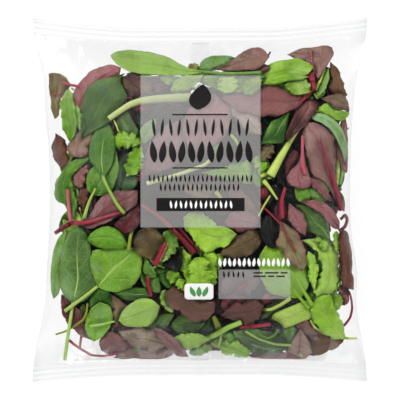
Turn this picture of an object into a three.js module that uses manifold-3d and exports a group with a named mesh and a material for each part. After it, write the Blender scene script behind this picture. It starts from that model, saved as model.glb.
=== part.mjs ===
// A clear pillow bag of mixed salad leaves, sealed across both ends and lying on its back.
// Millimetres, +Z up. +Y runs towards the top seal and +X to the right of the printed front.
// The origin is under the middle of the bag, on the surface that it lies on.
import * as THREE from "three";
import { mergeVertices } from "three/addons/utils/BufferGeometryUtils.js";
import Module from "manifold-3d";

// Driving sizes of the flat outline
const WAIST_HALF_WIDTH = 103; // the filled middle, drawn in by the bulge
const BELLY_SPREAD = 4.5; // how much wider the filled part gets away from the waist
const EAR_SPREAD = 7.5; // how much further the four corners stand out
const WAIST_SHIFT = 0.06; // the waist lies a little above the middle
const MIDDLE_HALF_LENGTH = 119.3; // from the middle to an end, on the centre line
const TOP_EAR_REACH = 7; // how far the top corners stand past the middle of the top edge
const BOTTOM_EAR_REACH = 4.7; // the same at the bottom edge
const EAR_START = 0.4; // the share of the half width where the ends begin to rise

// Driving sizes of the thickness
const SEAL_DEPTH = 10;
const SEAL_THICKNESS = 1;
const SEAL_HEIGHT = 24; // the height of the seals above the surface
const FRONT_BULGE = 38;
const BACK_BULGE = 33; // pressed flat where it would pass through the surface
const EAR_TWIST = 3.5; // how far the corners curl up or down
const END_DROOP = 4; // how far the ends sink below the height of the sides

// Relief
const CRIMP_COUNT = 3; // pressed lines across each seal
const CRIMP_RELIEF = 0.35;
const TUCK_RELIEF = 1.5; // folds that run out of the seals
const TUCK_LENGTHS = [19, 27.5];
const TUCK_PHASES = [0.6, 2.1];
const LUMP_RELIEF = 1.1; // leaves that press against the film
// Each wave of the lumps: its length, its direction in degrees and its phase in radians
const LUMP_WAVES = [
  { length: 41, turn: 18, phase: 0.4 },
  { length: 33, turn: 74, phase: 2.2 },
  { length: 52, turn: 133, phase: 4.1 },
];

// The lengthwise seam on the back, folded over to lie flat
const SEAM_WIDTH = 12;
const SEAM_THICKNESS = 0.5;
const SEAM_BITE = 1.2; // how deep the seam's strip reaches into the bag, so that they fuse

// Faceting
const COLUMNS = 38;
const BODY_ROWS = 36;
const SEAL_ROWS = 2 * CRIMP_COUNT;
const SEAM_STEPS = 40;

const SEAL_START = 1 - SEAL_DEPTH / MIDDLE_HALF_LENGTH;
const clamp = (value, low, high) => Math.min(high, Math.max(low, value));

function smoothstep(low, high, value) {
  const t = clamp((value - low) / (high - low), 0, 1);
  return t * t * (3 - 2 * t);
}

// The bag's half width at b, where b runs from -1 at the bottom edge to 1 at the top edge.
function halfWidth(b) {
  const away = Math.abs(b - WAIST_SHIFT * (1 - b * b));
  return WAIST_HALF_WIDTH + BELLY_SPREAD * away ** 1.5 + EAR_SPREAD * smoothstep(0.5, 0.95, away);
}

// The distance from the middle to the end edge at a, where a runs from -1 at the left to 1 at the right.
function halfLength(a, b) {
  const reach = b > 0 ? TOP_EAR_REACH : BOTTOM_EAR_REACH;
  const rise = clamp((Math.abs(a) - EAR_START) / (1 - EAR_START), 0, 1);
  return MIDDLE_HALF_LENGTH + reach * rise ** 1.4;
}

// How full the bag is at (a, b): 1 in the middle, 0 at the sides and the seals.
function fullness(a, b) {
  const along = clamp(Math.abs(b) / SEAL_START, 0, 1);
  const lengthwise = (1 - along ** 2.4) ** 0.9;
  const sideRoundness = 0.5 + 0.4 * along ** 3; // round sides in the middle, creased ones at the seals
  return lengthwise * (1 - Math.abs(a) ** 2.3) ** sideRoundness;
}

function lumps(x, y) {
  let sum = 0;
  for (const { length, turn, phase } of LUMP_WAVES) {
    const angle = THREE.MathUtils.degToRad(turn);
    const along = x * Math.cos(angle) + y * Math.sin(angle);
    sum += Math.sin((2 * Math.PI * along) / length + phase);
  }
  return (LUMP_RELIEF * sum) / LUMP_WAVES.length;
}

function tucks(x, along) {
  const nearSeal = smoothstep(0.62, 0.9, along) * (1 - smoothstep(0.93, 1, along));
  let sum = 0;
  TUCK_LENGTHS.forEach((length, i) => {
    sum += Math.sin((2 * Math.PI * x) / length + TUCK_PHASES[i]);
  });
  return (TUCK_RELIEF * nearSeal * sum) / TUCK_LENGTHS.length;
}

function crimps(b) {
  const depth = (Math.abs(b) - SEAL_START) / (1 - SEAL_START);
  if (depth <= 0) return 0;
  return CRIMP_RELIEF * Math.sin(2 * Math.PI * CRIMP_COUNT * depth - Math.PI / 2);
}

// A point of the bag's skin. side is 1 on the printed front and -1 on the back.
function skinPoint(a, b, side) {
  const x = a * halfWidth(b);
  const y = b * halfLength(a, b);
  const along = clamp(Math.abs(b) / SEAL_START, 0, 1);
  const full = fullness(a, b);
  const bulge = (side > 0 ? FRONT_BULGE : BACK_BULGE) * full;
  const relief = lumps(x, side * y) * Math.min(1, 3 * full) + tucks(x, along) * (1 - a * a);
  const middle = SEAL_HEIGHT - END_DROOP * smoothstep(0.5, 1, Math.abs(b)) + EAR_TWIST * a * b ** 3;
  const height = middle + side * (SEAL_THICKNESS / 2 + bulge + relief) + crimps(b);
  return new THREE.Vector3(x, y, Math.max(SEAM_THICKNESS, height));
}

// Rows of facets lie close together across the seals and evenly over the body.
function rowPlace(t) {
  const rows = BODY_ROWS / 2 + SEAL_ROWS;
  const row = Math.abs(t) * rows;
  const body = BODY_ROWS / 2;
  const b = row <= body
    ? (row / body) * SEAL_START
    : SEAL_START + ((row - body) / SEAL_ROWS) * (1 - SEAL_START);
  return Math.sign(t) * b;
}

// Columns crowd towards the sides, where the skin turns down.
const columnPlace = (t) => Math.sin((t * Math.PI) / 2);

function makePillow() {
  const geometry = new THREE.BoxGeometry(2, 2, 2, COLUMNS, BODY_ROWS + 2 * SEAL_ROWS, 1);
  const place = geometry.getAttribute("position");
  for (let i = 0; i < place.count; i++) {
    const a = columnPlace(place.getX(i));
    const b = rowPlace(place.getY(i));
    const p = skinPoint(a, b, Math.sign(place.getZ(i)));
    place.setXYZ(i, p.x, p.y, p.z);
  }
  return geometry;
}

// The seam's strip follows the back along the centre line and ends at the edges of the seals.
function makeSeam() {
  const geometry = new THREE.BoxGeometry(2, 2, 2, 2, SEAM_STEPS, 1);
  const place = geometry.getAttribute("position");
  for (let i = 0; i < place.count; i++) {
    const x = (place.getX(i) * SEAM_WIDTH) / 2;
    const b = place.getY(i) * SEAL_START;
    const back = skinPoint(x / halfWidth(b), b, -1);
    const z = back.z + (place.getZ(i) < 0 ? -SEAM_THICKNESS : SEAM_BITE);
    place.setXYZ(i, back.x, back.y, z);
  }
  return geometry;
}

const wasm = await Module();
wasm.setup();

function toSolid(geometry) {
  geometry.deleteAttribute("normal");
  geometry.deleteAttribute("uv");
  const merged = mergeVertices(geometry);
  return new wasm.Manifold(
    new wasm.Mesh({
      numProp: 3,
      vertProperties: new Float32Array(merged.attributes.position.array),
      triVerts: new Uint32Array(merged.index.array),
    }),
  );
}

function toGeometry(solid) {
  const mesh = solid.getMesh();
  return new THREE.BufferGeometry()
    .setAttribute("position", new THREE.BufferAttribute(mesh.vertProperties, 3))
    .setIndex(new THREE.BufferAttribute(mesh.triVerts, 1));
}

// The skin bounds the film and the leaves together, because the bag is sealed.
function makeBag() {
  const geometry = toGeometry(toSolid(makePillow()).add(toSolid(makeSeam())));
  geometry.computeBoundingBox();
  const { min, max } = geometry.boundingBox;
  geometry.translate(-(min.x + max.x) / 2, -(min.y + max.y) / 2, -min.z);
  geometry.computeVertexNormals();
  return geometry;
}

const film = new THREE.MeshStandardMaterial({
  color: 0xe9efe6,
  roughness: 0.18,
  metalness: 0,
  transparent: true,
  opacity: 0.4,
});

const saladBag = new THREE.Group();
const bag = new THREE.Mesh(makeBag(), film);
bag.name = "bag";
saladBag.add(bag);

export default saladBag;
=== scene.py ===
# %% [markdown]
# # A clear bag of mixed salad leaves
# The imported solid is one pillow: film and leaves together. Here it is replaced by what the real
# bag is made of, namely a thin clear film with its seals and seam, the leaves of each kind inside
# it, their stalks, and the ink on the front. The frame is loaded first, because every new piece
# is placed by it. Its box sets where the outline of the film sits.

# %% Load the imported frame
import math
from dataclasses import dataclass

import bmesh
import bpy
import numpy as np
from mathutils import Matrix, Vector
from mathutils.bvhtree import BVHTree


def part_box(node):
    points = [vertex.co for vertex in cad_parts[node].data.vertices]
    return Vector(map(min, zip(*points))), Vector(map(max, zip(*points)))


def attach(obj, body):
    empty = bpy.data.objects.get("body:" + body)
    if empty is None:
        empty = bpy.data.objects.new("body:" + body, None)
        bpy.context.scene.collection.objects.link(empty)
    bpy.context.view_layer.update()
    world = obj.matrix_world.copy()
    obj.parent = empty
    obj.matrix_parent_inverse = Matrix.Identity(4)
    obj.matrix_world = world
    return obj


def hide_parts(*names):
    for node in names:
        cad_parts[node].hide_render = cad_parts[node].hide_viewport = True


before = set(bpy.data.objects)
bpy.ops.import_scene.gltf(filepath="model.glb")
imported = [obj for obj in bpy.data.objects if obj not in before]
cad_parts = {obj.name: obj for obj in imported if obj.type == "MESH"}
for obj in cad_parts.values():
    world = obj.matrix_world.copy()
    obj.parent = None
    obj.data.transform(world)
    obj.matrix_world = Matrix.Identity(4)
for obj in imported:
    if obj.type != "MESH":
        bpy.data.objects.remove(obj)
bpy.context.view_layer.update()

MM = 0.001

# %% [markdown]
# ## The skin of the bag
# A pillow bag is a flat tube of film, sealed across both ends and blown up by what is in it. Its
# form could be simulated as cloth, but a few formulas give the same outline every time: how wide
# the bag is at each height, how long it is at each side, and how full it is in between. A point
# of the skin is named by a, from the left edge to the right one, and b, from the bottom edge to
# the top one, both from -1 to 1. All lengths here are millimetres.

# %% The flat outline
WAIST_HALF_WIDTH = 103
BELLY_SPREAD = 4.5
EAR_SPREAD = 7.5
WAIST_SHIFT = 0.06
MIDDLE_HALF_LENGTH = 119.3
TOP_EAR_REACH = 7
BOTTOM_EAR_REACH = 4.7
EAR_START = 0.4
SEAL_DEPTH = 10
SEAL_START = 1 - SEAL_DEPTH / MIDDLE_HALF_LENGTH
# Where leaves push a side out: the side, the place along it, and how far in millimetres
HIPS = [(1, -0.4, 3.6), (-1, -0.4, 0.9), (-1, 0.5, 1.9), (1, 0.6, 0.9)]
HIP_LENGTH = 0.17


def smoothstep(low, high, value):
    t = np.clip((value - low) / (high - low), 0, 1)
    return t * t * (3 - 2 * t)


def half_width(a, b):
    away = np.abs(b - WAIST_SHIFT * (1 - b * b))
    wide = WAIST_HALF_WIDTH + BELLY_SPREAD * away**1.5 + EAR_SPREAD * smoothstep(0.5, 0.95, away)
    for side, place, reach in HIPS:
        wide = wide + reach * smoothstep(0, 1, side * a) * np.exp(-(((b - place) / HIP_LENGTH) ** 2))
    return wide


def half_length(a, b):
    reach = np.where(b > 0, TOP_EAR_REACH, BOTTOM_EAR_REACH)
    rise = np.clip((np.abs(a) - EAR_START) / (1 - EAR_START), 0, 1)
    return MIDDLE_HALF_LENGTH + reach * rise**1.4


print("widest and narrowest:", 2 * half_width(1, np.array([1.0, WAIST_SHIFT])))

# %% [markdown]
# ## How the film swells, creases and puckers
# The leaves push the film out in the middle, and the seals hold it flat at the ends. Where the
# round middle meets the flat seal there is film to spare, and it goes into tucks that run out of
# the seal. The same happens down both sides. Each crease is a short straight ridge: its place
# and direction are drawn at random from a seeded generator, so that no two are alike and each
# run gives the same film.

# %% The heights of the film
SEAL_THICKNESS = 0.5
SEAL_HEIGHT = 24
FRONT_BULGE = 38
BACK_BULGE = 33
BACK_REST = 0.6
EAR_TWIST = 3.5
END_DROOP = 4
CRIMP_COUNT = 3
CRIMP_RELIEF = 0.35
LUMP_RELIEF = 1.1
LUMP_WAVES = [(41, 18, 0.4), (33, 74, 2.2), (52, 133, 4.1)]  # length, direction and phase
TUCK_RELIEF = 1.5
TUCK_WAVES = [(19, 0.6), (27.5, 2.1)]  # length and phase


def fullness(a, b):
    along = np.clip(np.abs(b) / SEAL_START, 0, 1)
    lengthwise = (1 - along**2.4) ** 0.9
    side_roundness = 0.5 + 0.4 * along**3
    return lengthwise * (1 - np.clip(np.abs(a), 0, 1) ** 2.3) ** side_roundness


def lumps(x, y):
    total = 0
    for length, turn, phase in LUMP_WAVES:
        along = x * math.cos(math.radians(turn)) + y * math.sin(math.radians(turn))
        total = total + np.sin(2 * math.pi * along / length + phase)
    return LUMP_RELIEF * total / len(LUMP_WAVES)


def tucks(x, b):
    along = np.clip(np.abs(b) / SEAL_START, 0, 1)
    near_seal = smoothstep(0.62, 0.9, along) * (1 - smoothstep(0.93, 1, along))
    total = 0
    for length, phase in TUCK_WAVES:
        total = total + np.sin(2 * math.pi * x / length + phase)
    return TUCK_RELIEF * near_seal * total / len(TUCK_WAVES)


def crimps(b):
    depth = (np.abs(b) - SEAL_START) / (1 - SEAL_START)
    wave = np.sin(2 * math.pi * CRIMP_COUNT * depth - math.pi / 2)
    return np.where(depth > 0, CRIMP_RELIEF * wave, 0)


def film_middle(a, b):
    return SEAL_HEIGHT - END_DROOP * smoothstep(0.5, 1, np.abs(b)) + EAR_TWIST * a * b**3


def smooth_skin(a, b, side):
    """The skin without its fine creases: side is 1 on the printed front and -1 on the back."""
    x = a * half_width(a, b)
    y = b * half_length(a, b)
    full = fullness(a, b)
    bulge = (FRONT_BULGE if side > 0 else BACK_BULGE) * full
    relief = lumps(x, side * y) * np.minimum(1, 3 * full) + tucks(x, b) * (1 - a * a)
    z = film_middle(a, b) + side * (SEAL_THICKNESS / 2 + bulge + relief) + crimps(b)
    return x, y, np.maximum(BACK_REST, z)


low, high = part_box("bag")
edge = np.linspace(-1, 1, 201)
_, edge_top, _ = smooth_skin(edge, np.ones(201), 1)
_, edge_bottom, _ = smooth_skin(edge, -np.ones(201), 1)
SHIFT_Y = (low.y + high.y) / 2 / MM - (edge_top.max() + edge_bottom.min()) / 2
print("the outline moves up by", round(SHIFT_Y, 2), "mm to sit on the packed box")

# %% [markdown]
# ## Fine creases
# Film is stiff and thin, so it does not ripple like cloth: it folds along straight lines that are
# sharp on top and fade out at their ends. A crease here is a ridge with a narrow bell section.
# Most start at a seal and point into the bag, a few cross the corners, and short ones pucker the
# two sides.

# %% Draw the creases
CREASE_SEED = 11
SEAL_CREASE_SPAN = 98
SEAL_CREASE_ROOT = 106
SIDE_CREASE_SPAN = 96
SIDE_CREASE_ROOT = 108
rng = np.random.default_rng(CREASE_SEED)


@dataclass
class Crease:
    x: float
    y: float
    turn: float
    length: float
    width: float
    height: float

    def relief(self, x, y):
        along = (x - self.x) * math.cos(self.turn) + (y - self.y) * math.sin(self.turn)
        off = (y - self.y) * math.cos(self.turn) - (x - self.x) * math.sin(self.turn)
        fade = smoothstep(0, 0.25, along / self.length) * (1 - smoothstep(0.4, 1, along / self.length))
        return self.height * fade / (1 + (off / self.width) ** 2) ** 1.5


def seal_creases(end, count):
    made = []
    for place in np.linspace(-SEAL_CREASE_SPAN, SEAL_CREASE_SPAN, count):
        x = place + rng.normal(0, 5)
        lean = rng.normal(0, 0.35) - 0.003 * x
        turn = -end * math.pi / 2 + end * lean
        height = rng.uniform(0.4, 1.5) * rng.choice([-1, 1])
        length = rng.uniform(16, 46)
        made.append(Crease(x, end * SEAL_CREASE_ROOT, turn, length, rng.uniform(1.2, 2.4), height))
    return made


def side_creases(side, count):
    made = []
    for place in np.linspace(-SIDE_CREASE_SPAN, SIDE_CREASE_SPAN, count):
        y = place + rng.normal(0, 4)
        turn = (math.pi if side > 0 else 0) + rng.normal(0, 0.5)
        height = rng.uniform(0.3, 1.1) * rng.choice([-1, 1])
        length = rng.uniform(10, 30)
        made.append(Crease(side * SIDE_CREASE_ROOT, y, turn, length, rng.uniform(1.1, 2.0), height))
    return made


front_creases = seal_creases(1, 20) + seal_creases(-1, 20) + side_creases(1, 16) + side_creases(-1, 16)
back_creases = seal_creases(1, 14) + seal_creases(-1, 14)


def creased_skin(a, b, side):
    x, y, z = smooth_skin(a, b, side)
    body = np.clip(np.abs(b) / SEAL_START, 0, 1)
    keep = (1 - smoothstep(0.985, 1, body)) * (1 - smoothstep(0.97, 1, np.abs(a)))
    relief = sum(crease.relief(x, y) for crease in (front_creases if side > 0 else back_creases))
    z = np.maximum(BACK_REST, z + side * keep * relief)
    return x, y + SHIFT_Y, z


def skin_place(x, y):
    """The (a, b) of a point given in millimetres, by a few rounds of closing in on it."""
    a = np.zeros_like(x)
    b = np.zeros_like(x)
    for _ in range(6):
        b = (y - SHIFT_Y) / half_length(a, b)
        a = x / half_width(a, b)
    return a, b


def film_height(x, y, side):
    a, b = skin_place(x, y)
    return creased_skin(np.clip(a, -1, 1), np.clip(b, -1, 1), side)[2]


print("creases on the front:", len(front_creases), "on the back:", len(back_creases))

# %% [markdown]
# ## One way to write shaders
# A material is a net of nodes, and a sum of masks quickly becomes a page of links. The small
# class below wraps one socket. It has the usual operators, so 1 - mask adds its Math node by
# itself, and a material reads like the formula that it is.


# %% A socket that does arithmetic
class Value:
    def __init__(self, paint, socket):
        self.paint = paint
        self.socket = socket

    def math(self, operation, *others):
        inputs = dict(enumerate([self, *others]))
        return self.paint.node("ShaderNodeMath", {"operation": operation}, inputs)

    def __add__(self, other):
        return self.math("ADD", other)

    def __sub__(self, other):
        return self.math("SUBTRACT", other)

    def __rsub__(self, other):
        return self.paint.node("ShaderNodeMath", {"operation": "SUBTRACT"}, {0: other, 1: self})

    def __mul__(self, other):
        return self.math("MULTIPLY", other)

    def __abs__(self):
        return self.math("ABSOLUTE")

    __radd__ = __add__
    __rmul__ = __mul__

    def rise(self, low, high):
        """0 below low and 1 above high, with a soft step between them."""
        settings = {"interpolation_type": "SMOOTHSTEP"}
        return self.paint.node("ShaderNodeMapRange", settings, {0: self, 1: low, 2: high})


# %% A material and its nodes
def linear(colour):
    """A colour as it looks on a screen, from 0 to 255, turned into the light that it stands for."""
    shares = [c / 255 for c in colour]
    return tuple(c / 12.92 if c <= 0.04045 else ((c + 0.055) / 1.055) ** 2.4 for c in shares) + (1,)


class Paint:
    def __init__(self, name, **constants):
        self.material = bpy.data.materials.new(name)
        self.material.use_nodes = True
        self.tree = self.material.node_tree
        self.tree.nodes.clear()
        self.surface = self.tree.nodes.new("ShaderNodeBsdfPrincipled")
        self.output = self.tree.nodes.new("ShaderNodeOutputMaterial")
        self.tree.links.new(self.surface.outputs[0], self.output.inputs["Surface"])
        for name, value in constants.items():
            self.surface.inputs[name.replace("_", " ")].default_value = value

    def connect(self, value, socket):
        if isinstance(value, Value):
            self.tree.links.new(value.socket, socket)
        else:
            socket.default_value = value

    def node(self, kind, settings=None, inputs=None, output=0):
        made = self.tree.nodes.new(kind)
        for key, value in (settings or {}).items():
            setattr(made, key, value)
        for key, value in (inputs or {}).items():
            self.connect(value, made.inputs[key])
        return Value(self, made.outputs[output])

    def feed(self, **values):
        for name, value in values.items():
            self.connect(value, self.surface.inputs[name.replace("_", " ")])

    def place(self):
        """The point of the surface, in metres, in the frame of the bag."""
        return self.node("ShaderNodeTexCoord", output="Object")

    def noise(self, scale, detail=2, roughness=0.5, where=None):
        inputs = {"Vector": where or self.place(), "Scale": scale, "Detail": detail, "Roughness": roughness}
        return self.node("ShaderNodeTexNoise", None, inputs)

    def mix(self, share, first, second):
        """A colour between first and second."""
        return self.node("ShaderNodeMix", {"data_type": "RGBA"}, {0: share, 6: first, 7: second}, 2)

    def bump(self, height, distance, strength=1):
        inputs = {"Height": height, "Distance": distance, "Strength": strength}
        return self.node("ShaderNodeBump", None, inputs)

    def see_through(self, opacity, tint=(1, 1, 1, 1)):
        """Lets light straight through, except for the share that opacity gives."""
        clear = self.node("ShaderNodeBsdfTransparent", None, {"Color": tint})
        solid = Value(self, self.surface.outputs[0])
        mixed = self.node("ShaderNodeMixShader", None, {0: opacity, 1: clear, 2: solid})
        self.tree.links.new(mixed.socket, self.output.inputs["Surface"])


print("shader helpers are ready")

# %% [markdown]
# ## Floor, light and camera
# The bag lies on its back on a plain floor that glows like a light table, and the camera looks
# straight down on the printed front through a long lens. The light is even and has hardly any
# shadows: a pale sky all round, one large soft lamp from the upper left, and weaker ones from
# the right and from the foot of the bag.

# %% Stage
FLOOR_SIZE = 4.0
FLOOR_GLOW = 0.92
SKY_LIGHT = 0.3
VIEW_WIDTH = 274.6
LENS = 200
SENSOR = 36
CAMERA_DISTANCE = VIEW_WIDTH * LENS / SENSOR

stage_mesh = bmesh.new()
bmesh.ops.create_grid(stage_mesh, x_segments=4, y_segments=4, size=FLOOR_SIZE / 2)
floor_data = bpy.data.meshes.new("floor")
stage_mesh.to_mesh(floor_data)
stage_mesh.free()
floor = bpy.data.objects.new("floor", floor_data)
bpy.context.scene.collection.objects.link(floor)
floor_paint = Paint("pale_floor", Roughness=0.9, Base_Color=linear((90, 90, 90)))
floor_paint.feed(Emission_Color=(1, 1, 1, 1), Emission_Strength=FLOOR_GLOW)
floor_data.materials.append(floor_paint.material)


def lamp(name, size, power, place, aim=(0, 0, 0.03)):
    data = bpy.data.lights.new(name, "AREA")
    data.shape = "RECTANGLE"
    data.size, data.size_y = size
    data.energy = power
    made = bpy.data.objects.new(name, data)
    made.location = place
    made.rotation_euler = (made.location - Vector(aim)).to_track_quat("Z", "Y").to_euler()
    bpy.context.scene.collection.objects.link(made)


lamp("key_lamp", (1.8, 1.4), 33, (-0.9, 1.0, 1.3))
lamp("fill_lamp", (1.4, 1.4), 9, (1.2, 0.1, 1.2))
lamp("low_lamp", (1.4, 0.8), 5, (0.1, -1.4, 1.0))
world = bpy.data.worlds.new("studio")
bpy.context.scene.world = world
world.use_nodes = True
world.node_tree.nodes["Background"].inputs["Color"].default_value = (1, 1, 1, 1)
world.node_tree.nodes["Background"].inputs["Strength"].default_value = SKY_LIGHT

camera_data = bpy.data.cameras.new("camera")
camera_data.lens = LENS
camera_data.sensor_width = SENSOR
camera = bpy.data.objects.new("camera", camera_data)
camera.location = (0, 0, (CAMERA_DISTANCE + SEAL_HEIGHT) * MM)
bpy.context.scene.collection.objects.link(camera)
bpy.context.scene.camera = camera
bpy.context.scene.view_settings.view_transform = "Standard"
print("the camera is", round(CAMERA_DISTANCE), "mm above the seals")

# %% [markdown]
# ## Sheets and tubes from a grid
# Film, leaves, stalks and ink all start as Blender's flat grid, whose points are then moved to
# their places. A grid has its UV map from the start, so a pattern such as the veins can follow
# the leaf. A tube is the same grid rolled up, with its seam merged and its ends filled later.


# %% Helpers for meshes
class Work:
    """A mesh in the making, with a UV map and a colour for each point."""

    def __init__(self):
        self.bm = bmesh.new()
        self.uv = self.bm.loops.layers.uv.new("leaf")
        self.tone = self.bm.verts.layers.float_color.new("tone")

    def sheet(self, place, tone=(1, 1, 1, 1), flip=False):
        """Adds a grid whose points go to place[row, column], in millimetres."""
        rows, columns = place.shape[0] - 1, place.shape[1] - 1
        tones = np.broadcast_to(tone, (rows + 1, columns + 1, 4))
        made = bmesh.ops.create_grid(
            self.bm, x_segments=columns, y_segments=rows, size=1, calc_uvs=True
        )["verts"]
        for point in made:
            column = round((point.co.x + 1) / 2 * columns)
            row = round((point.co.y + 1) / 2 * rows)
            point.co = place[row, column] * MM
            point[self.tone] = tones[row, column]
        if flip:
            faces = {face for point in made for face in point.link_faces}
            bmesh.ops.reverse_faces(self.bm, faces=list(faces))
        return made

    def finish(self, name, material, slot):
        mesh = bpy.data.meshes.new(name)
        self.bm.to_mesh(mesh)
        self.bm.free()
        mesh.shade_smooth()
        piece = bpy.data.objects.new(name, mesh)
        bpy.context.scene.collection.objects.link(piece)
        mesh.materials.append(material)
        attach(piece, "root")
        return piece


def thicken(piece, thickness, offset=0):
    wall = piece.modifiers.new("wall", "SOLIDIFY")
    wall.thickness = thickness * MM
    wall.offset = offset


def triangles(piece):
    shown = piece.evaluated_get(bpy.context.evaluated_depsgraph_get())
    mesh = shown.to_mesh()
    mesh.calc_loop_triangles()
    count = len(mesh.loop_triangles)
    shown.to_mesh_clear()
    return count


# %% [markdown]
# ## The film
# The film is two grids, the front and the back, joined along their rims and given a wall of an
# eighth of a millimetre, with a strip down the back where the tube of film is closed. The strip
# takes its map from the middle of the film, so that no edge of it shows as a seal or a side.
# Clear film is not glass: light passes straight through it without bending, and what the eye
# sees is the gloss at its surface and a faint grey at its edges. So the material is a mix of a
# Transparent shader and a glossy one. The share of gloss grows where the film turns away from
# the eye, as Layer Weight says, and the welded seals are a little milky and less smooth. Gloss
# is also added by place alone: along the sides, the ends and the corner ears it is painted shade,
# the grey of the film's edges; in soft patches it is painted sheen; and it lies as a veil over
# the leaves next to the lower seal.

# %% Model the film
FILM_THICKNESS = 0.12
FILM_COLUMNS = 124
FILM_BODY_ROWS = 116
FILM_SEAL_ROWS = 10
SEAL_SHARE = FILM_SEAL_ROWS / (FILM_BODY_ROWS + 2 * FILM_SEAL_ROWS)
SEAM_WIDTH = 12
SEAM_DROP = 0.4


def film_rows():
    body = np.linspace(-SEAL_START, SEAL_START, FILM_BODY_ROWS + 1)
    seal = np.linspace(SEAL_START, 1, FILM_SEAL_ROWS + 1)[1:]
    return np.concatenate([-seal[::-1], body, seal])


def skin_grid(side):
    a, b = np.meshgrid(np.sin(np.linspace(-1, 1, FILM_COLUMNS + 1) * math.pi / 2), film_rows())
    return np.stack(creased_skin(a, b, side), axis=-1)


film_work = Work()
film_work.sheet(skin_grid(1))
film_work.sheet(skin_grid(-1), flip=True)
rims = [edge for edge in film_work.bm.edges if edge.is_boundary]
bmesh.ops.bridge_loops(film_work.bm, edges=rims)
bmesh.ops.recalc_face_normals(film_work.bm, faces=film_work.bm.faces)

seam_x, seam_b = np.meshgrid(np.linspace(-SEAM_WIDTH / 2, SEAM_WIDTH / 2, 5), film_rows())
seam_b = seam_b[FILM_SEAL_ROWS:-FILM_SEAL_ROWS]
seam_x = seam_x[FILM_SEAL_ROWS:-FILM_SEAL_ROWS]
seam = np.stack(creased_skin(seam_x / half_width(0, seam_b), seam_b, -1), axis=-1)
seam[..., 2] -= SEAM_DROP
for point in film_work.sheet(seam, flip=True):
    for loop in point.link_loops:
        loop[film_work.uv].uv = (0.5, 0.45 + 0.1 * loop[film_work.uv].uv.y)

# %% The film's finish
GLOSS = 0.004
SEAL_GLOSS = 0.01
CRIMP_GLOSS = 0.022
# Ear, side, end and cloud gloss are painted shade and painted sheen, added by place on the film.
EAR_GLOSS = 0.06
SIDE_GLOSS = 0.025
END_GLOSS = 0.025
CLOUD_GLOSS = 0.009
VEIL_GLOSS = 0.065
RIM_GLOSS = 0.5
FILM_TINT = (0.992, 0.992, 0.992, 1)
FILM_ROUGHNESS = 0.1
SEAL_ROUGHNESS = 0.35  # added where the film is welded and pressed

film_paint = Paint("clear_film", Metallic=0.75, Base_Color=linear((226, 229, 231)))
film_map = film_paint.node("ShaderNodeUVMap", {"uv_map": "leaf"})
across = film_paint.node("ShaderNodeSeparateXYZ", None, {0: film_map}, 0)
up = film_paint.node("ShaderNodeSeparateXYZ", None, {0: film_map}, 1)
from_side = 0.5 - abs(across - 0.5)
from_end = 0.5 - abs(up - 0.5)
in_seal = 1 - from_end.rise(SEAL_SHARE * 0.98, SEAL_SHARE)
crimp_line = (from_end * (CRIMP_COUNT / SEAL_SHARE)).math("PINGPONG", 0.5).rise(0.15, 0.5)
stretched = {"Vector": film_paint.place(), "Scale": (1, 0.3, 0.4)}
wrinkle_place = film_paint.node("ShaderNodeMapping", None, stretched)
wrinkles = film_paint.bump(film_paint.noise(130, 2, 0.5, wrinkle_place) * (1 - in_seal), 0.002, 0.6)
turned = film_paint.node("ShaderNodeLayerWeight", None, {"Blend": 0.35, "Normal": wrinkles}, "Facing")
# Painted shade: more gloss along the sides, the ends and the corner ears greys the film there.
near_ear = (1 - from_side.rise(0, 0.16)) * (1 - from_end.rise(0, 0.2))
near_side = 1 - from_side.rise(0, 0.15)
near_end = 1 - from_end.rise(SEAL_SHARE, SEAL_SHARE + 0.09)
in_middle = from_side.rise(0.1, 0.28) * from_end.rise(0.1, 0.2)
# Painted sheen: soft patches of gloss away from the middle.
sheen_clouds = film_paint.noise(24, 2, 0.5, wrinkle_place).rise(0.42, 0.62) * (1 - in_middle)
veil = (1 - up.rise(0.09, 0.19)) * (1 - in_seal) * from_side.rise(0.1, 0.3)
# The seal and crimp gloss is the weld's real milkiness; the rest is painted shade and sheen.
haze_and_sheen = in_seal * (SEAL_GLOSS + CRIMP_GLOSS * crimp_line) + EAR_GLOSS * near_ear
haze_and_sheen = haze_and_sheen + SIDE_GLOSS * near_side + END_GLOSS * near_end + CLOUD_GLOSS * sheen_clouds + VEIL_GLOSS * veil
gloss = GLOSS + haze_and_sheen + RIM_GLOSS * turned * turned * turned
film_paint.feed(Normal=wrinkles, Roughness=FILM_ROUGHNESS + SEAL_ROUGHNESS * in_seal)
film_paint.see_through(gloss, FILM_TINT)

film = film_work.finish("film", film_paint.material, "film")
thicken(film, FILM_THICKNESS, -1)
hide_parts("bag")
print("film triangles:", triangles(film))

# %% [markdown]
# ## Two piles of leaves
# Inside the bag, leaves lie on one another like cards, and the outermost ones press against the
# film. Falling leaves could be simulated, but then nobody could say which leaf ends up on top.
# So the bag is packed from the outside in. A pile keeps a height for each square millimetre,
# starting at the film. Each new leaf is laid just under that level, a little stiffer than what
# covers it, and the level sinks to below the leaf. The back of the bag has a pile of its own.

# %% The piles
LEAF_THICKNESS = 0.4
FILM_GAP = 0.9
LEAF_GAP = 0.32
LEAF_STIFFNESS = 6
STALK_STIFFNESS = 8
KEEP_WAVE = 0.6
CORE_GAP = 1.0
FIELD_HALF_X = 116
FIELD_HALF_Y = 128
SIDE_LIMIT = 0.985
END_LIMIT = 0.993 * SEAL_START
SQUEEZE = 0.05


def soft_limit(value, limit):
    """Values past the limit are squeezed to lie just inside it."""
    start = limit - SQUEEZE
    over = np.maximum(0, np.abs(value) - start)
    return np.sign(value) * (np.minimum(np.abs(value), start) + SQUEEZE * np.tanh(over / SQUEEZE))


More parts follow.
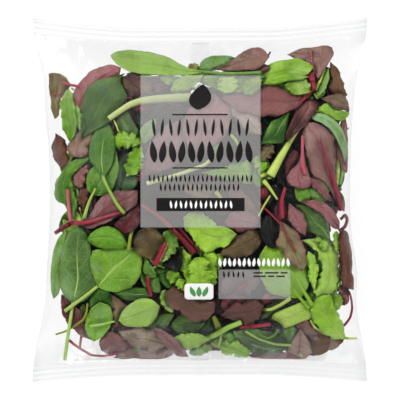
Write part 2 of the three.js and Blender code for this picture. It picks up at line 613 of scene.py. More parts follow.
def keep_inside(x, y):
    """Moves points that would lie outside the film to just inside it."""
    a, b = skin_place(x, y)
    a = soft_limit(a, SIDE_LIMIT)
    b = soft_limit(b, END_LIMIT)
    return a * half_width(a, b), b * half_length(a, b) + SHIFT_Y


def blur(grid):
    """Each value becomes the mean of itself and its four neighbours."""
    wide = np.pad(grid, 1, mode="edge")
    return (grid + wide[2:, 1:-1] + wide[:-2, 1:-1] + wide[1:-1, 2:] + wide[1:-1, :-2]) / 5


def halved(grid):
    """The same grid with a new point halfway along every side and in the middle of each cell."""
    for axis in (0, 1):
        first = np.take(grid, range(grid.shape[axis] - 1), axis)
        second = np.take(grid, range(1, grid.shape[axis]), axis)
        shape = list(grid.shape)
        shape[axis] = 2 * shape[axis] - 1
        finer = np.zeros(shape)
        even = [slice(None), slice(None)]
        even[axis] = slice(0, None, 2)
        odd = [slice(None), slice(None)]
        odd[axis] = slice(1, None, 2)
        finer[tuple(even)] = grid
        finer[tuple(odd)] = (first + second) / 2
        grid = finer
    return grid


class Pile:
    """What the next leaf lies under. Heights are counted outwards, so the back counts downwards."""

    def __init__(self, side):
        self.side = side
        x, y = np.meshgrid(
            np.arange(-FIELD_HALF_X, FIELD_HALF_X + 1.0), np.arange(-FIELD_HALF_Y, FIELD_HALF_Y + 1.0)
        )
        self.level = side * film_height(x, y, side) - FILM_GAP
        a, b = skin_place(x, y)
        self.core = side * film_middle(np.clip(a, -1, 1), np.clip(b, -1, 1))

    def cells(self, x, y):
        column = np.clip(x + FIELD_HALF_X, 0, 2 * FIELD_HALF_X - 0.001)
        row = np.clip(y + FIELD_HALF_Y, 0, 2 * FIELD_HALF_Y - 0.001)
        return column, row

    def sample(self, field, x, y):
        column, row = self.cells(x, y)
        i, j = column.astype(int), row.astype(int)
        u, v = column - i, row - j
        near = field[j, i] * (1 - u) + field[j, i + 1] * u
        far = field[j + 1, i] * (1 - u) + field[j + 1, i + 1] * u
        return near * (1 - v) + far * v

    def lay(self, x, y, wave, sink=0, stiffness=LEAF_STIFFNESS):
        """The heights of a leaf at (x, y) with its own waves, laid as high as it can go."""
        top = self.sample(self.level, x, y)
        base = top.copy()
        for _ in range(stiffness):
            base = np.minimum(top, blur(base))
        height = np.minimum(top, base + wave - KEEP_WAVE * np.max(wave) - sink)
        return np.maximum(height, np.minimum(top, self.sample(self.core, x, y) + CORE_GAP))

    def cover(self, x, y, height, gap=LEAF_GAP):
        """Sinks the level to below a piece that has been laid."""
        for _ in range(2):
            x, y, height = halved(x), halved(y), halved(height)
        column, row = self.cells(x, y)
        under = (height - LEAF_THICKNESS - gap).ravel()
        for i in (0, 1):
            for j in (0, 1):
                where = (row.astype(int).ravel() + j, column.astype(int).ravel() + i)
                np.minimum.at(self.level, where, under)


front_pile = Pile(1)
back_pile = Pile(-1)
print("the bag is", round(float(front_pile.level.max() + back_pile.level.max()), 1), "mm deep inside")

# %% [markdown]
# ## The forms of the leaves
# The mix has smooth baby spinach, wavy red beet leaves, lobed red lettuce, toothed curly lettuce
# and cut rocket. Their blades differ in a few numbers: where the blade is widest, how blunt it
# is, how many lobes and teeth cut into it, and how its edge ripples. One function turns those
# numbers into a grid of points, and bends, cups and ruffles the blade as a real one is.


# %% Forms
RAG_WAVES = (2.2, 4.7, 8.3, 13.1)


@dataclass
class Form:
    """What sets one kind of blade apart: its outline, ripples, veins and second tone."""

    piece: str
    widest: float
    blunt: float
    lobes: float = 0
    lobe_depth: float = 0
    teeth: float = 0
    tooth_depth: float = 0
    ruffle: float = 0.6
    ripples: float = 3
    quilt: float = 0.25
    veins: float = 6
    slant: float = 1.6
    rib: float = 0.7
    rag: float = 0.022
    blush: tuple = (96, 140, 58)
    blush_base: float = 0.5
    blush_edge: float = 0.0
    columns: int = 12
    rows: int = 30

    def cut(self, t, side_phase):
        """What lobes, teeth and rags leave of the width at t, from 0 at the base to 1 at the tip."""
        lobes = 0.5 + 0.5 * np.cos(2 * math.pi * (self.lobes * t + side_phase))
        uneven = t + 0.025 * np.sin(2 * math.pi * (2.3 * t + 3 * side_phase))
        saw = np.abs((self.teeth * uneven + side_phase) % 1 - 0.5) * 2
        saw = saw * (0.65 + 0.35 * np.sin(2 * math.pi * (1.7 * t + 5 * side_phase)))
        fade = np.sin(math.pi * np.clip(t, 0, 1)) ** 0.5
        rag = sum(np.sin(2 * math.pi * (wave * t + (wave + 1) * side_phase)) for wave in RAG_WAVES)
        return 1 - fade * (self.lobe_depth * lobes + self.tooth_depth * saw + self.rag * rag)

    def half_width(self, t, side_phase):
        power = math.log(0.5) / math.log(self.widest)
        return np.sin(math.pi * np.clip(t, 0.004, 0.996) ** power) ** self.blunt * self.cut(t, side_phase)


FORMS = {
    "spinach": Form("spinach", 0.42, 0.72, ruffle=1.0, ripples=2.3, quilt=0.45, veins=6, rib=1.15),
    "round": Form("spinach", 0.46, 0.52, ruffle=1.1, ripples=2.3, quilt=0.5, veins=6, rib=1.15),
    "slender": Form("spinach", 0.5, 0.8, ruffle=0.8, ripples=2, quilt=0.3, veins=7),
    "deep": Form("spinach", 0.44, 0.6, ruffle=1.0, ripples=2.3, quilt=0.4, columns=8, rows=18),
    "beet": Form(
        "beet_leaves", 0.42, 0.62, 4.5, 0.06, ruffle=1.9, ripples=3.5, quilt=0.6, veins=7, rag=0.04,
        blush=(120, 58, 64), blush_base=0.7, blush_edge=0.2,
    ),
    "oak": Form(
        "red_lettuce", 0.55, 0.5, 3.2, 0.26, ruffle=2.4, ripples=3.2, quilt=0.6, veins=5, rag=0.07,
        blush=(112, 62, 54), blush_base=0, blush_edge=0.8,
    ),
    "lettuce": Form(
        "green_lettuce", 0.58, 0.5, 4, 0.16, 11, 0.13, 1.8, 4, 0.35, 6, rag=0.06, rows=44,
        blush=(178, 204, 108), blush_base=0.8, blush_edge=0,
    ),
    "curly": Form(
        "green_lettuce", 0.6, 0.42, 3.1, 0.24, 9, 0.36, 2.2, 3.5, 0.35, 5, rag=0.09, rows=46,
        blush=(172, 206, 92), blush_base=0.7, blush_edge=0.3,
    ),
    "rib": Form(
        "green_lettuce", 0.5, 0.4, ruffle=0.3, ripples=1, quilt=0.2, veins=3, slant=0.2, rag=0.01,
        blush=(168, 200, 90), blush_base=0.6,
    ),
    "rocket": Form(
        "green_lettuce", 0.68, 0.5, 3.4, 0.6, ruffle=0.9, ripples=2, quilt=0.3, veins=5, rows=40,
        blush=(110, 158, 60),
    ),
}
print("forms of blades:", ", ".join(FORMS))

# %% Leaf tones
# The first two tones are painted shade, for leaves deep in the pile where no light reaches.
SHADOW_BLACK = (9, 11, 6)
SHADE_GREEN = (20, 36, 18)
DEEP_GREEN = (30, 84, 8)
DARK_GREEN = (46, 94, 18)
MOSS = (58, 84, 34)
FOREST = (50, 84, 16)
GREEN = (78, 126, 34)
FRESH = (102, 154, 42)
GRASS = (94, 146, 8)
LEAF_GREEN = (120, 172, 38)
LIME = (126, 184, 14)
BRIGHT = (152, 202, 52)
LIGHT_GREEN = (164, 204, 84)
SPRING = (170, 212, 78)
SOFT_GREEN = (122, 160, 76)
PALE_GREEN = (162, 198, 106)
SAGE = (78, 112, 40)
BLUE_GREEN = (154, 194, 134)
OLIVE_GREEN = (146, 164, 54)
RIB_GREEN = (194, 216, 104)
FRESH_RIB = (176, 210, 104)
PALE_RIB = (204, 212, 136)
CREAM = (228, 236, 150)
OLIVE = (118, 106, 50)
DARK_OLIVE = (72, 62, 34)
KHAKI = (134, 120, 84)
UMBER = (114, 82, 54)
TAUPE = (144, 118, 98)
BRICK_BROWN = (108, 56, 38)
RUST = (98, 54, 40)
MAUVE = (150, 106, 104)
DUSKY = (150, 99, 93)
ROSEWOOD = (144, 98, 90)
ROSE = (160, 104, 108)
BRICK = (146, 66, 68)
PLUM = (82, 50, 56)
PLUM_RED = (104, 58, 58)
MAROON = (84, 42, 44)
DARK_RED = (56, 26, 26)
CRIMSON = (162, 26, 58)
ROSE_RED = (156, 40, 64)
WINE = (114, 18, 36)
PINK = (200, 84, 110)

# %% [markdown]
# ## What lies where
# The leaves that show through the film are placed one by one, the uppermost first. A leaf has
# its form, its tone, the two ends of its blade, and its width. A stalk has its tone, the points
# that it runs through and its radius at both ends. The places are given in pixels of the
# photograph of 400 by 400, because that is how they were judged, and one short function
# turns them into millimetres on the bag.

# %% From pixels to millimetres
PIXEL = 0.6866
MIDDLE_COLUMN = 200.5
MIDDLE_ROW = 199.5
LEAF_SEED = 5
leaf_rng = np.random.default_rng(LEAF_SEED)


def on_bag(points):
    """Pixels to millimetres. What lies nearer the camera looks larger, so it is drawn in a little."""
    points = np.atleast_2d(np.array(points, float))
    x = (points[:, 0] - MIDDLE_COLUMN) * PIXEL
    y = (MIDDLE_ROW - points[:, 1]) * PIXEL
    z = film_height(x, y, 1)
    nearer = 1 - (z - SEAL_HEIGHT) / CAMERA_DISTANCE
    return x * nearer, y * nearer


@dataclass
class Leaf:
    """A leaf in pixels. left and right are points of its edges, from the base to the tip."""

    form: str
    tone: tuple
    base: tuple
    tip: tuple
    width: float = 0
    bend: float = 0
    cup: float = 0
    sink: float = 0
    petiole: tuple = ()
    rib_tone: tuple = None
    left: tuple = ()
    right: tuple = ()
    blush: tuple = None


@dataclass
class Stalk:
    """A stalk in pixels, with its radius at both ends."""

    tone: tuple
    points: list
    start: float
    end: float
    sink: float = 0


def gap(base, tip, width, sink=1):
    """A leaf deep in the pile, painted near-black as the shade between the leaves above it."""
    return Leaf("deep", SHADOW_BLACK, base, tip, width, sink=sink, rib_tone=SHADOW_BLACK, blush=SHADOW_BLACK)


# %% Leaves at the top left
TOP_LEFT = [
    Stalk(PALE_RIB, [(109, 118), (118, 112), (130, 104), (142, 100), (160, 98), (192, 97)], 2.8, 5.2),
    Stalk(RIB_GREEN, [(114, 119), (117, 125), (119, 131)], 0.9, 0.6),
    Leaf("spinach", FOREST, (125, 73), (81, 138), blush=SAGE, rib_tone=SAGE,
         left=((119, 80), (125, 88), (128, 99), (113, 120), (100, 127), (91, 133)),
         right=((112, 77), (99, 79), (88, 86), (83, 96), (82, 110), (83, 122))),
    Leaf("spinach", (136, 178, 76), (204, 71), (111, 55), blush=PALE_GREEN,
         petiole=((220, 73), (240, 73), (262, 72)),
         left=((194, 74), (170, 75), (145, 74), (130, 71), (120, 66), (113, 60)),
         right=((190, 68), (180, 63), (168, 56), (150, 51), (130, 49), (114, 51))),
    Leaf("spinach", (50, 100, 12), (103, 175), (107, 121), blush=(66, 116, 22), rib_tone=(150, 190, 80),
         petiole=((106, 183), (112, 194), (118, 205), (125, 213)),
         left=((97, 168), (91, 162), (89, 153), (90, 144), (93, 135), (98, 127)),
         right=((108, 172), (112, 165), (115, 156), (116, 147), (115, 138), (112, 128))),
    Leaf("lettuce", GRASS, (70, 141), (68, 88), blush=GRASS, rib_tone=GRASS,
         left=((65, 133), (62, 126), (62, 116), (59, 106), (62, 98), (65, 92)),
         right=((75, 136), (78, 126), (77, 112), (74, 99), (72, 91))),
    Leaf("lettuce", FRESH, (81, 130), (77, 105), 8),
    Stalk(CRIMSON, [(63, 82), (70, 84), (80, 86)], 1.6, 1.3),
    Stalk(BRICK, [(49, 93), (58, 94), (66, 92)], 0.6, 0.9),
    Leaf("beet", ROSE, (80, 113), (121, 67), blush=BRICK,
         left=((73, 106), (71, 92), (77, 85), (82, 79), (89, 71), (99, 66), (112, 63)),
         right=((90, 106), (102, 94), (114, 82), (120, 75))),
    Leaf("oak", OLIVE, (60, 73), (55, 118), blush=(112, 60, 50), rib_tone=WINE,
         left=((67, 77), (72, 82), (68, 89), (62, 99), (60, 108), (60, 115)),
         right=((52, 72), (47, 74), (48, 86), (50, 100), (52, 111))),
    Leaf("beet", (128, 106, 86), (79, 157), (90, 130), blush=UMBER, rib_tone=TAUPE,
         left=((70, 155), (67, 149), (69, 142), (73, 137), (80, 130)),
         right=((88, 156), (90, 147), (94, 137))),
    Leaf("oak", BRICK_BROWN, (62, 168), (56, 133), blush=DARK_RED, rib_tone=RUST,
         left=((57, 163), (52, 157), (49, 148), (51, 142), (56, 137)),
         right=((68, 163), (71, 157), (67, 152), (69, 144), (63, 137))),
    Leaf("curly", LIME, (141, 143), (113, 142), 20, 3, rib_tone=LIME, blush=GRASS),
    Leaf("curly", LIME, (140, 145), (131, 174), 20, rib_tone=LIME, blush=GRASS),
    Stalk(RIB_GREEN, [(127, 175), (134, 172), (140, 169)], 1.6, 1.2),
    Leaf("spinach", MOSS, (139, 140), (117, 116), left=((126, 141), (117, 130)),
         right=((138, 128), (128, 110))),
    Leaf("beet", PLUM, (152, 102), (121, 77), blush=OLIVE, rib_tone=WINE,
         left=((138, 102), (127, 93)), right=((152, 80), (134, 72))),
    Leaf("beet", WINE, (146, 110), (126, 97), 10, rib_tone=CRIMSON),
    Leaf("beet", PLUM, (134, 92), (113, 74), 16, sink=0.5),
    Leaf("spinach", MOSS, (152, 76), (127, 73), 9, sink=0.5),
]

# %% Leaves along the top
TOP_MIDDLE = [
    Leaf("beet", TAUPE, (270, 56), (214, 69), blush=DUSKY, rib_tone=TAUPE,
         left=((265, 63), (258, 69), (240, 70), (226, 70)),
         right=((266, 50), (259, 45), (247, 48), (237, 56), (226, 64))),
    Stalk(PLUM, [(268, 55), (270, 53), (271, 51)], 1.2, 0.8),
    Leaf("spinach", GREEN, (240, 58), (200, 68),
         left=((230, 64), (218, 69), (208, 71)), right=((228, 55), (214, 55), (205, 58), (200, 63))),
    Leaf("beet", MAROON, (270, 66), (222, 72), 12),
    Leaf("lettuce", OLIVE, (203, 70), (189, 65), 10),
    Leaf("lettuce", LIGHT_GREEN, (226, 72), (230, 92), 24, blush=PALE_GREEN, rib_tone=LIGHT_GREEN),
    Leaf("lettuce", GRASS, (262, 78), (244, 92), 16),
    Leaf("lettuce", LEAF_GREEN, (205, 70), (172, 92), 18),
    Leaf("lettuce", FRESH, (190, 90), (161, 77), 12, 2),
    Leaf("spinach", FRESH, (262, 84), (198, 79), 20, sink=1),
    Leaf("beet", PLUM, (140, 84), (192, 80), 18, sink=1),
    Leaf("spinach", GREEN, (266, 76), (222, 75), 9, sink=0.5),
    Leaf("spinach", GREEN, (228, 74), (194, 73), 8, sink=0.5),
]

# %% Leaves at the top right
TOP_RIGHT = [
    Leaf("rib", LEAF_GREEN, (261, 84), (309, 76), blush=BRIGHT, rib_tone=LEAF_GREEN,
         left=((273, 77), (284, 73), (297, 75)), right=((275, 84), (290, 80), (302, 79))),
    Leaf("rib", LEAF_GREEN, (261, 80), (314, 66), blush=LIGHT_GREEN, rib_tone=LEAF_GREEN,
         left=((262, 70), (270, 63), (280, 60), (291, 59), (297, 57), (306, 61)),
         right=((275, 81), (292, 80), (306, 76), (311, 71))),
    Leaf("lettuce", LEAF_GREEN, (301, 94), (299, 77), blush=LIGHT_GREEN,
         left=((293, 94), (284, 85), (290, 79)), right=((311, 92), (312, 86), (309, 79))),
    Stalk(ROSE_RED, [(312, 72), (313, 79), (315, 87), (308, 95), (302, 101)], 3.6, 1.1),
    Stalk((150, 84, 86), [(312, 49), (312, 60), (315, 73)], 1.0, 1.8),
    Leaf("beet", TAUPE, (319, 78), (288, 54), blush=ROSEWOOD, rib_tone=ROSE,
         left=((314, 69), (309, 62), (298, 59)),
         right=((330, 62), (335, 52), (332, 44), (316, 46), (300, 48))),
    Stalk(RIB_GREEN, [(326, 67), (322, 78), (317, 89)], 1.0, 1.6),
    Leaf("slender", LEAF_GREEN, (319, 96), (329, 66), left=((316, 88), (321, 77)),
         right=((326, 89), (330, 78))),
    Leaf("beet", DUSKY, (306, 98), (222, 98), rib_tone=ROSEWOOD,
         left=((300, 107), (288, 112), (276, 116), (260, 116), (240, 112)),
         right=((303, 92), (293, 95), (283, 89), (276, 84), (262, 84), (240, 88))),
    Leaf("beet", MAROON, (307, 100), (288, 141), blush=DUSKY, rib_tone=MAROON,
         left=((298, 107), (294, 116), (289, 127), (286, 136)),
         right=((314, 101), (321, 106), (313, 115), (309, 122), (298, 132))),
    Leaf("spinach", BLUE_GREEN, (346, 162), (311, 116), blush=GREEN, rib_tone=PALE_GREEN,
         left=((341, 147), (336, 136), (330, 128), (322, 122), (315, 120)),
         right=((349, 151), (347, 140), (343, 129), (336, 120), (326, 114), (317, 112))),
    Leaf("lettuce", LEAF_GREEN, (312, 109), (352, 113), blush=BRIGHT,
         left=((322, 105), (327, 102), (333, 109), (344, 110)),
         right=((324, 114), (334, 119), (342, 121), (348, 117))),
    Leaf("oak", (136, 114, 92), (322, 98), (352, 112), blush=ROSEWOOD, rib_tone=KHAKI,
         left=((331, 94), (343, 92), (350, 101)), right=((331, 104), (338, 109), (345, 110))),
    Leaf("oak", UMBER, (340, 99), (331, 61), blush=DARK_OLIVE, rib_tone=UMBER,
         left=((331, 93), (329, 84), (331, 74)), right=((349, 95), (345, 84), (342, 73), (337, 66))),
    Leaf("spinach", DEEP_GREEN, (290, 111), (262, 143), blush=FRESH,
         left=((288, 124), (286, 137), (284, 143), (274, 143)), right=((283, 116), (272, 121), (266, 132))),
    Stalk(RIB_GREEN, [(301, 126), (290, 142), (281, 157), (275, 168), (271, 175)], 1.5, 5.0),
    Stalk(RIB_GREEN, [(275, 169), (268, 173), (261, 176)], 3.0, 1.6),
    Leaf("beet", DARK_RED, (302, 106), (322, 108), 18),
    Leaf("curly", GREEN, (318, 98), (322, 82), 14),
    Leaf("spinach", GREEN, (314, 96), (262, 86), 18, sink=1),
    Leaf("beet", ROSEWOOD, (348, 172), (345, 116), 15, -2, rib_tone=CRIMSON),
    Stalk(CRIMSON, [(344, 132), (349, 129), (352, 127)], 0.7, 0.6),
    Leaf("beet", DARK_RED, (338, 94), (326, 80), 14),
    Leaf("beet", DARK_RED, (334, 92), (328, 66), 18, sink=2),
    Leaf("beet", MAROON, (296, 90), (322, 62), 24, sink=1),
    gap((258, 80), (318, 86), 22),
    gap((300, 104), (332, 76), 30),
]

# %% Leaves at the left
LEFT_MIDDLE = [
    Stalk(PINK, [(68, 189), (69, 203), (71, 221)], 1.6, 1.8),
    Stalk(ROSE_RED, [(124, 211), (105, 217), (89, 222), (71, 223)], 1.5, 2.6),
    Stalk(WINE, [(72, 222), (64, 227), (55, 233)], 2.8, 2.0),
    Leaf("lettuce", (68, 118, 0), (75, 217), (90, 157), blush=DARK_GREEN, rib_tone=FRESH,
         left=((67, 211), (65, 204), (57, 201), (52, 192), (55, 182), (60, 174), (66, 165), (76, 158)),
         right=((78, 206), (77, 195), (73, 186), (72, 176), (78, 169), (86, 163))),
    Stalk(LIGHT_GREEN, [(96, 188), (90, 200), (87, 209), (84, 219)], 1.1, 1.9),
    Stalk(RIB_GREEN, [(80, 221), (77, 213), (73, 208)], 3.0, 0.9),
    Stalk(RIB_GREEN, [(82, 221), (81, 213), (80, 207)], 2.0, 0.7),
    Leaf("beet", MAUVE, (80, 224), (138, 190), blush=PLUM_RED, rib_tone=ROSE_RED,
         left=((90, 216), (95, 205), (101, 196), (116, 190)),
         right=((91, 229), (101, 225), (113, 219), (127, 212), (138, 204))),
    Leaf("spinach", GREEN, (95, 195), (116, 150), blush=FRESH, rib_tone=FRESH,
         left=((88, 191), (86, 180), (89, 171), (100, 160)),
         right=((108, 195), (113, 188), (117, 180), (120, 168))),
    Leaf("oak", DUSKY, (80, 187), (88, 164), blush=ROSEWOOD, rib_tone=DUSKY,
         left=((75, 185), (73, 178), (73, 171), (80, 168)), right=((85, 186), (86, 178), (89, 172))),
    Leaf("oak", RUST, (83, 207), (82, 184), left=((79, 203), (79, 194)),
         right=((88, 203), (89, 194), (87, 187))),
    Leaf("spinach", (34, 62, 48), (118, 198), (128, 152), 26, 2, rib_tone=SHADE_GREEN),
    Leaf("beet", MAROON, (124, 233), (134, 196), blush=WINE, rib_tone=WINE,
         left=((114, 224), (122, 217), (128, 208)), right=((134, 231), (141, 222), (140, 206))),
    Stalk(CRIMSON, [(144, 173), (138, 178), (133, 184)], 2.8, 2.2),
    Leaf("beet", PLUM_RED, (117, 190), (137, 174), blush=ROSEWOOD, left=((120, 181), (127, 175)),
         right=((128, 190), (138, 184))),
    Stalk(OLIVE_GREEN, [(135, 223), (131, 235), (129, 250)], 1.3, 2.0),
    Leaf("round", GRASS, (129, 246), (88, 239), blush=FRESH, rib_tone=LEAF_GREEN,
         left=((120, 248), (108, 249), (98, 247), (90, 243)),
         right=((122, 232), (114, 227), (106, 225), (97, 229), (90, 234))),
    Stalk(CRIMSON, [(166, 243), (161, 254), (155, 265)], 2.0, 2.8),
    Leaf("beet", DARK_OLIVE, (154, 260), (146, 227), blush=OLIVE, rib_tone=UMBER,
         left=((141, 256), (132, 245), (136, 233)), right=((162, 252), (165, 240), (158, 229))),
    Leaf("beet", DARK_RED, (78, 212), (96, 196), 16),
    Leaf("curly", GREEN, (70, 216), (76, 188), 12, sink=2),
]

# %% Leaves at the right
RIGHT_MIDDLE = [
    Stalk(PINK, [(303, 135), (303, 150), (303, 164), (306, 174)], 1.3, 2.0),
    Leaf("beet", ROSE, (304, 148), (301, 188), blush=ROSE, rib_tone=PINK,
         left=((307, 166), (311, 177), (312, 187)), right=((299, 163), (291, 170), (286, 177), (291, 185))),
    Leaf("beet", ROSE, (309, 178), (331, 201), 9, -2, rib_tone=PINK),
    Stalk(ROSE_RED, [(321, 140), (328, 160), (334, 180), (340, 200), (343, 210)], 1.0, 3.0),
    Leaf("beet", (154, 112, 102), (341, 210), (307, 123), blush=ROSE, rib_tone=ROSE_RED,
         left=((332, 190), (323, 180), (313, 176), (309, 160), (305, 146), (302, 133)),
         right=((342, 196), (337, 180), (336, 165), (339, 148), (334, 136), (325, 125), (314, 121))),
    Leaf("spinach", GRASS, (331, 191), (312, 178), 9),
    Stalk(RIB_GREEN, [(341, 146), (339, 165), (338, 184)], 2.6, 2.0),
    Stalk(PALE_GREEN, [(346, 153), (344, 168), (341, 184)], 2.6, 1.6),
    Leaf("curly", LEAF_GREEN, (343, 174), (349, 154), 12),
    Leaf("slender", FRESH, (340, 190), (344, 146), 12, sink=0.5),
    Stalk(WINE, [(341, 186), (342, 190)], 1.8, 1.4),
    Stalk(RIB_GREEN, [(264, 180), (270, 187), (278, 199)], 2.4, 0.9),
    Stalk(RIB_GREEN, [(271, 195), (264, 206), (259, 216)], 1.0, 0.9),
    Stalk(CRIMSON, [(286, 187), (282, 200), (283, 218)], 1.5, 2.8),
    Stalk(ROSE_RED, [(259, 202), (270, 212), (281, 223), (288, 237), (296, 251)], 1.0, 0.8),
    Leaf("beet", MAUVE, (306, 235), (290, 203), blush=ROSE, rib_tone=PINK,
         left=((297, 230), (288, 218)), right=((308, 225), (303, 212))),
    Leaf("oak", (150, 142, 96), (281, 221), (302, 271), blush=MAUVE, rib_tone=ROSEWOOD,
         left=((292, 226), (302, 236), (307, 250), (308, 264)),
         right=((280, 232), (276, 243), (282, 253), (292, 264))),
    Leaf("beet", ROSE, (303, 202), (340, 229), blush=MAUVE, rib_tone=PINK,
         left=((312, 199), (324, 201), (333, 208), (340, 220)),
         right=((312, 207), (322, 213), (328, 222), (334, 228))),
    Leaf("spinach", (58, 94, 32), (331, 240), (297, 205), blush=GREEN,
         left=((318, 234), (308, 231), (303, 218)), right=((329, 220), (318, 208), (305, 204))),
    Leaf("beet", PLUM_RED, (276, 213), (284, 198), left=((280, 222), (288, 212)),
         right=((275, 208), (280, 201))),
    Leaf("spinach", GRASS, (309, 200), (296, 187), 14),
    Leaf("spinach", GREEN, (330, 198), (306, 189), 13),
    Stalk(WINE, [(341, 219), (346, 214), (350, 219), (346, 226), (340, 231)], 1.6, 1.8),
    Leaf("oak", BRICK_BROWN, (342, 228), (357, 289), blush=RUST, rib_tone=RUST,
         left=((350, 232), (355, 249), (355, 264), (352, 272), (358, 280)),
         right=((339, 240), (341, 256), (342, 270), (341, 281), (348, 289))),
    Leaf("curly", BRIGHT, (326, 250), (321, 230), 14, rib_tone=BRIGHT),
    Leaf("curly", LIME, (338, 252), (337, 231), 9, rib_tone=LIME),
    Leaf("beet", MAROON, (345, 234), (348, 292), 14, sink=0.5),
    Leaf("beet", DARK_RED, (296, 150), (290, 186), 14, sink=2),
    Leaf("oak", KHAKI, (262, 160), (273, 144), 14, sink=2),
    Leaf("curly", LIME, (272, 178), (256, 156), 16, rib_tone=LIME),
    Leaf("spinach", GRASS, (258, 186), (268, 158), 16),
    Leaf("slender", GREEN, (340, 190), (345, 211), 7),
    Leaf("beet", WINE, (262, 184), (266, 200), 10, rib_tone=PINK),
    gap((270, 214), (274, 248), 26),
    gap((284, 140), (290, 190), 24),
    gap((320, 192), (344, 206), 14),
    Leaf("beet", ROSEWOOD, (338, 156), (333, 130), 12, sink=0.5),
    gap((262, 190), (300, 206), 24),
]

# %% Leaves under the large panel
PANEL_UNDER = [
    Leaf("lettuce", BRIGHT, (237, 234), (184, 217), blush=LIGHT_GREEN, rib_tone=LIGHT_GREEN,
         left=((231, 228), (221, 225), (212, 218), (203, 211), (191, 211)),
         right=((228, 246), (214, 251), (200, 252), (194, 240), (185, 229))),
    Stalk(CRIMSON, [(141, 204), (157, 214), (172, 227)], 1.5, 2.2),
    Stalk(WINE, [(172, 227), (184, 240), (195, 253)], 2.2, 3.0),
    Stalk(WINE, [(180, 228), (190, 240), (200, 251)], 1.4, 2.2),
    Leaf("beet", (106, 88, 56), (220, 255), (264, 232), blush=DARK_OLIVE, rib_tone=UMBER,
         left=((228, 240), (240, 233), (254, 229)), right=((234, 258), (249, 256), (260, 247))),
    Leaf("beet", MAUVE, (225, 222), (262, 226), blush=BRICK, rib_tone=CRIMSON,
         left=((231, 212), (241, 209), (255, 213)), right=((236, 231), (250, 233))),
    Stalk(CREAM, [(147, 183), (162, 179), (176, 175), (190, 170), (204, 165), (213, 158)], 2.2, 2.0),
    Leaf("lettuce", LEAF_GREEN, (264, 172), (202, 172), blush=BRIGHT, rib_tone=LIGHT_GREEN,
         left=((250, 160), (236, 161), (220, 168)), right=((258, 184), (240, 183), (220, 178))),
    Stalk(RIB_GREEN, [(231, 134), (236, 139), (240, 146), (243, 153)], 1.6, 1.4),
    Stalk(RIB_GREEN, [(216, 191), (222, 198)], 2.4, 1.8),
    Leaf("spinach", GRASS, (141, 142), (156, 118), 14, rib_tone=GREEN),
    Leaf("beet", MAUVE, (203, 160), (215, 93), blush=ROSE, rib_tone=ROSE,
         left=((192, 150), (181, 132), (186, 112), (200, 100)),
         right=((208, 150), (224, 138), (233, 125), (231, 107))),
    Leaf("oak", (178, 160, 142), (262, 134), (224, 92), blush=TAUPE, rib_tone=TAUPE,
         left=((262, 122), (254, 108), (244, 92), (234, 86)), right=((248, 134), (236, 120), (228, 106))),
    Leaf("beet", MAUVE, (143, 176), (186, 118), blush=ROSE, rib_tone=ROSE,
         left=((144, 160), (150, 142), (166, 124)), right=((160, 172), (180, 164), (192, 142))),
    Leaf("spinach", FRESH, (212, 160), (216, 136), 12, rib_tone=LIGHT_GREEN),
    Leaf("beet", UMBER, (232, 186), (264, 224), 18, 3, rib_tone=UMBER),
    Leaf("oak", KHAKI, (218, 196), (184, 188), 16, rib_tone=UMBER),
    Leaf("oak", DARK_OLIVE, (240, 184), (170, 182), 18, sink=1, rib_tone=DARK_OLIVE),
    Leaf("lettuce", GREEN, (160, 262), (174, 230), 22),
    gap((150, 214), (200, 206), 30),
    Leaf("beet", DARK_RED, (234, 206), (206, 200), 22, sink=1, rib_tone=MAROON),
    gap((150, 112), (196, 116), 24),
    gap((160, 240), (180, 270), 24),
    gap((150, 186), (240, 190), 22),
]

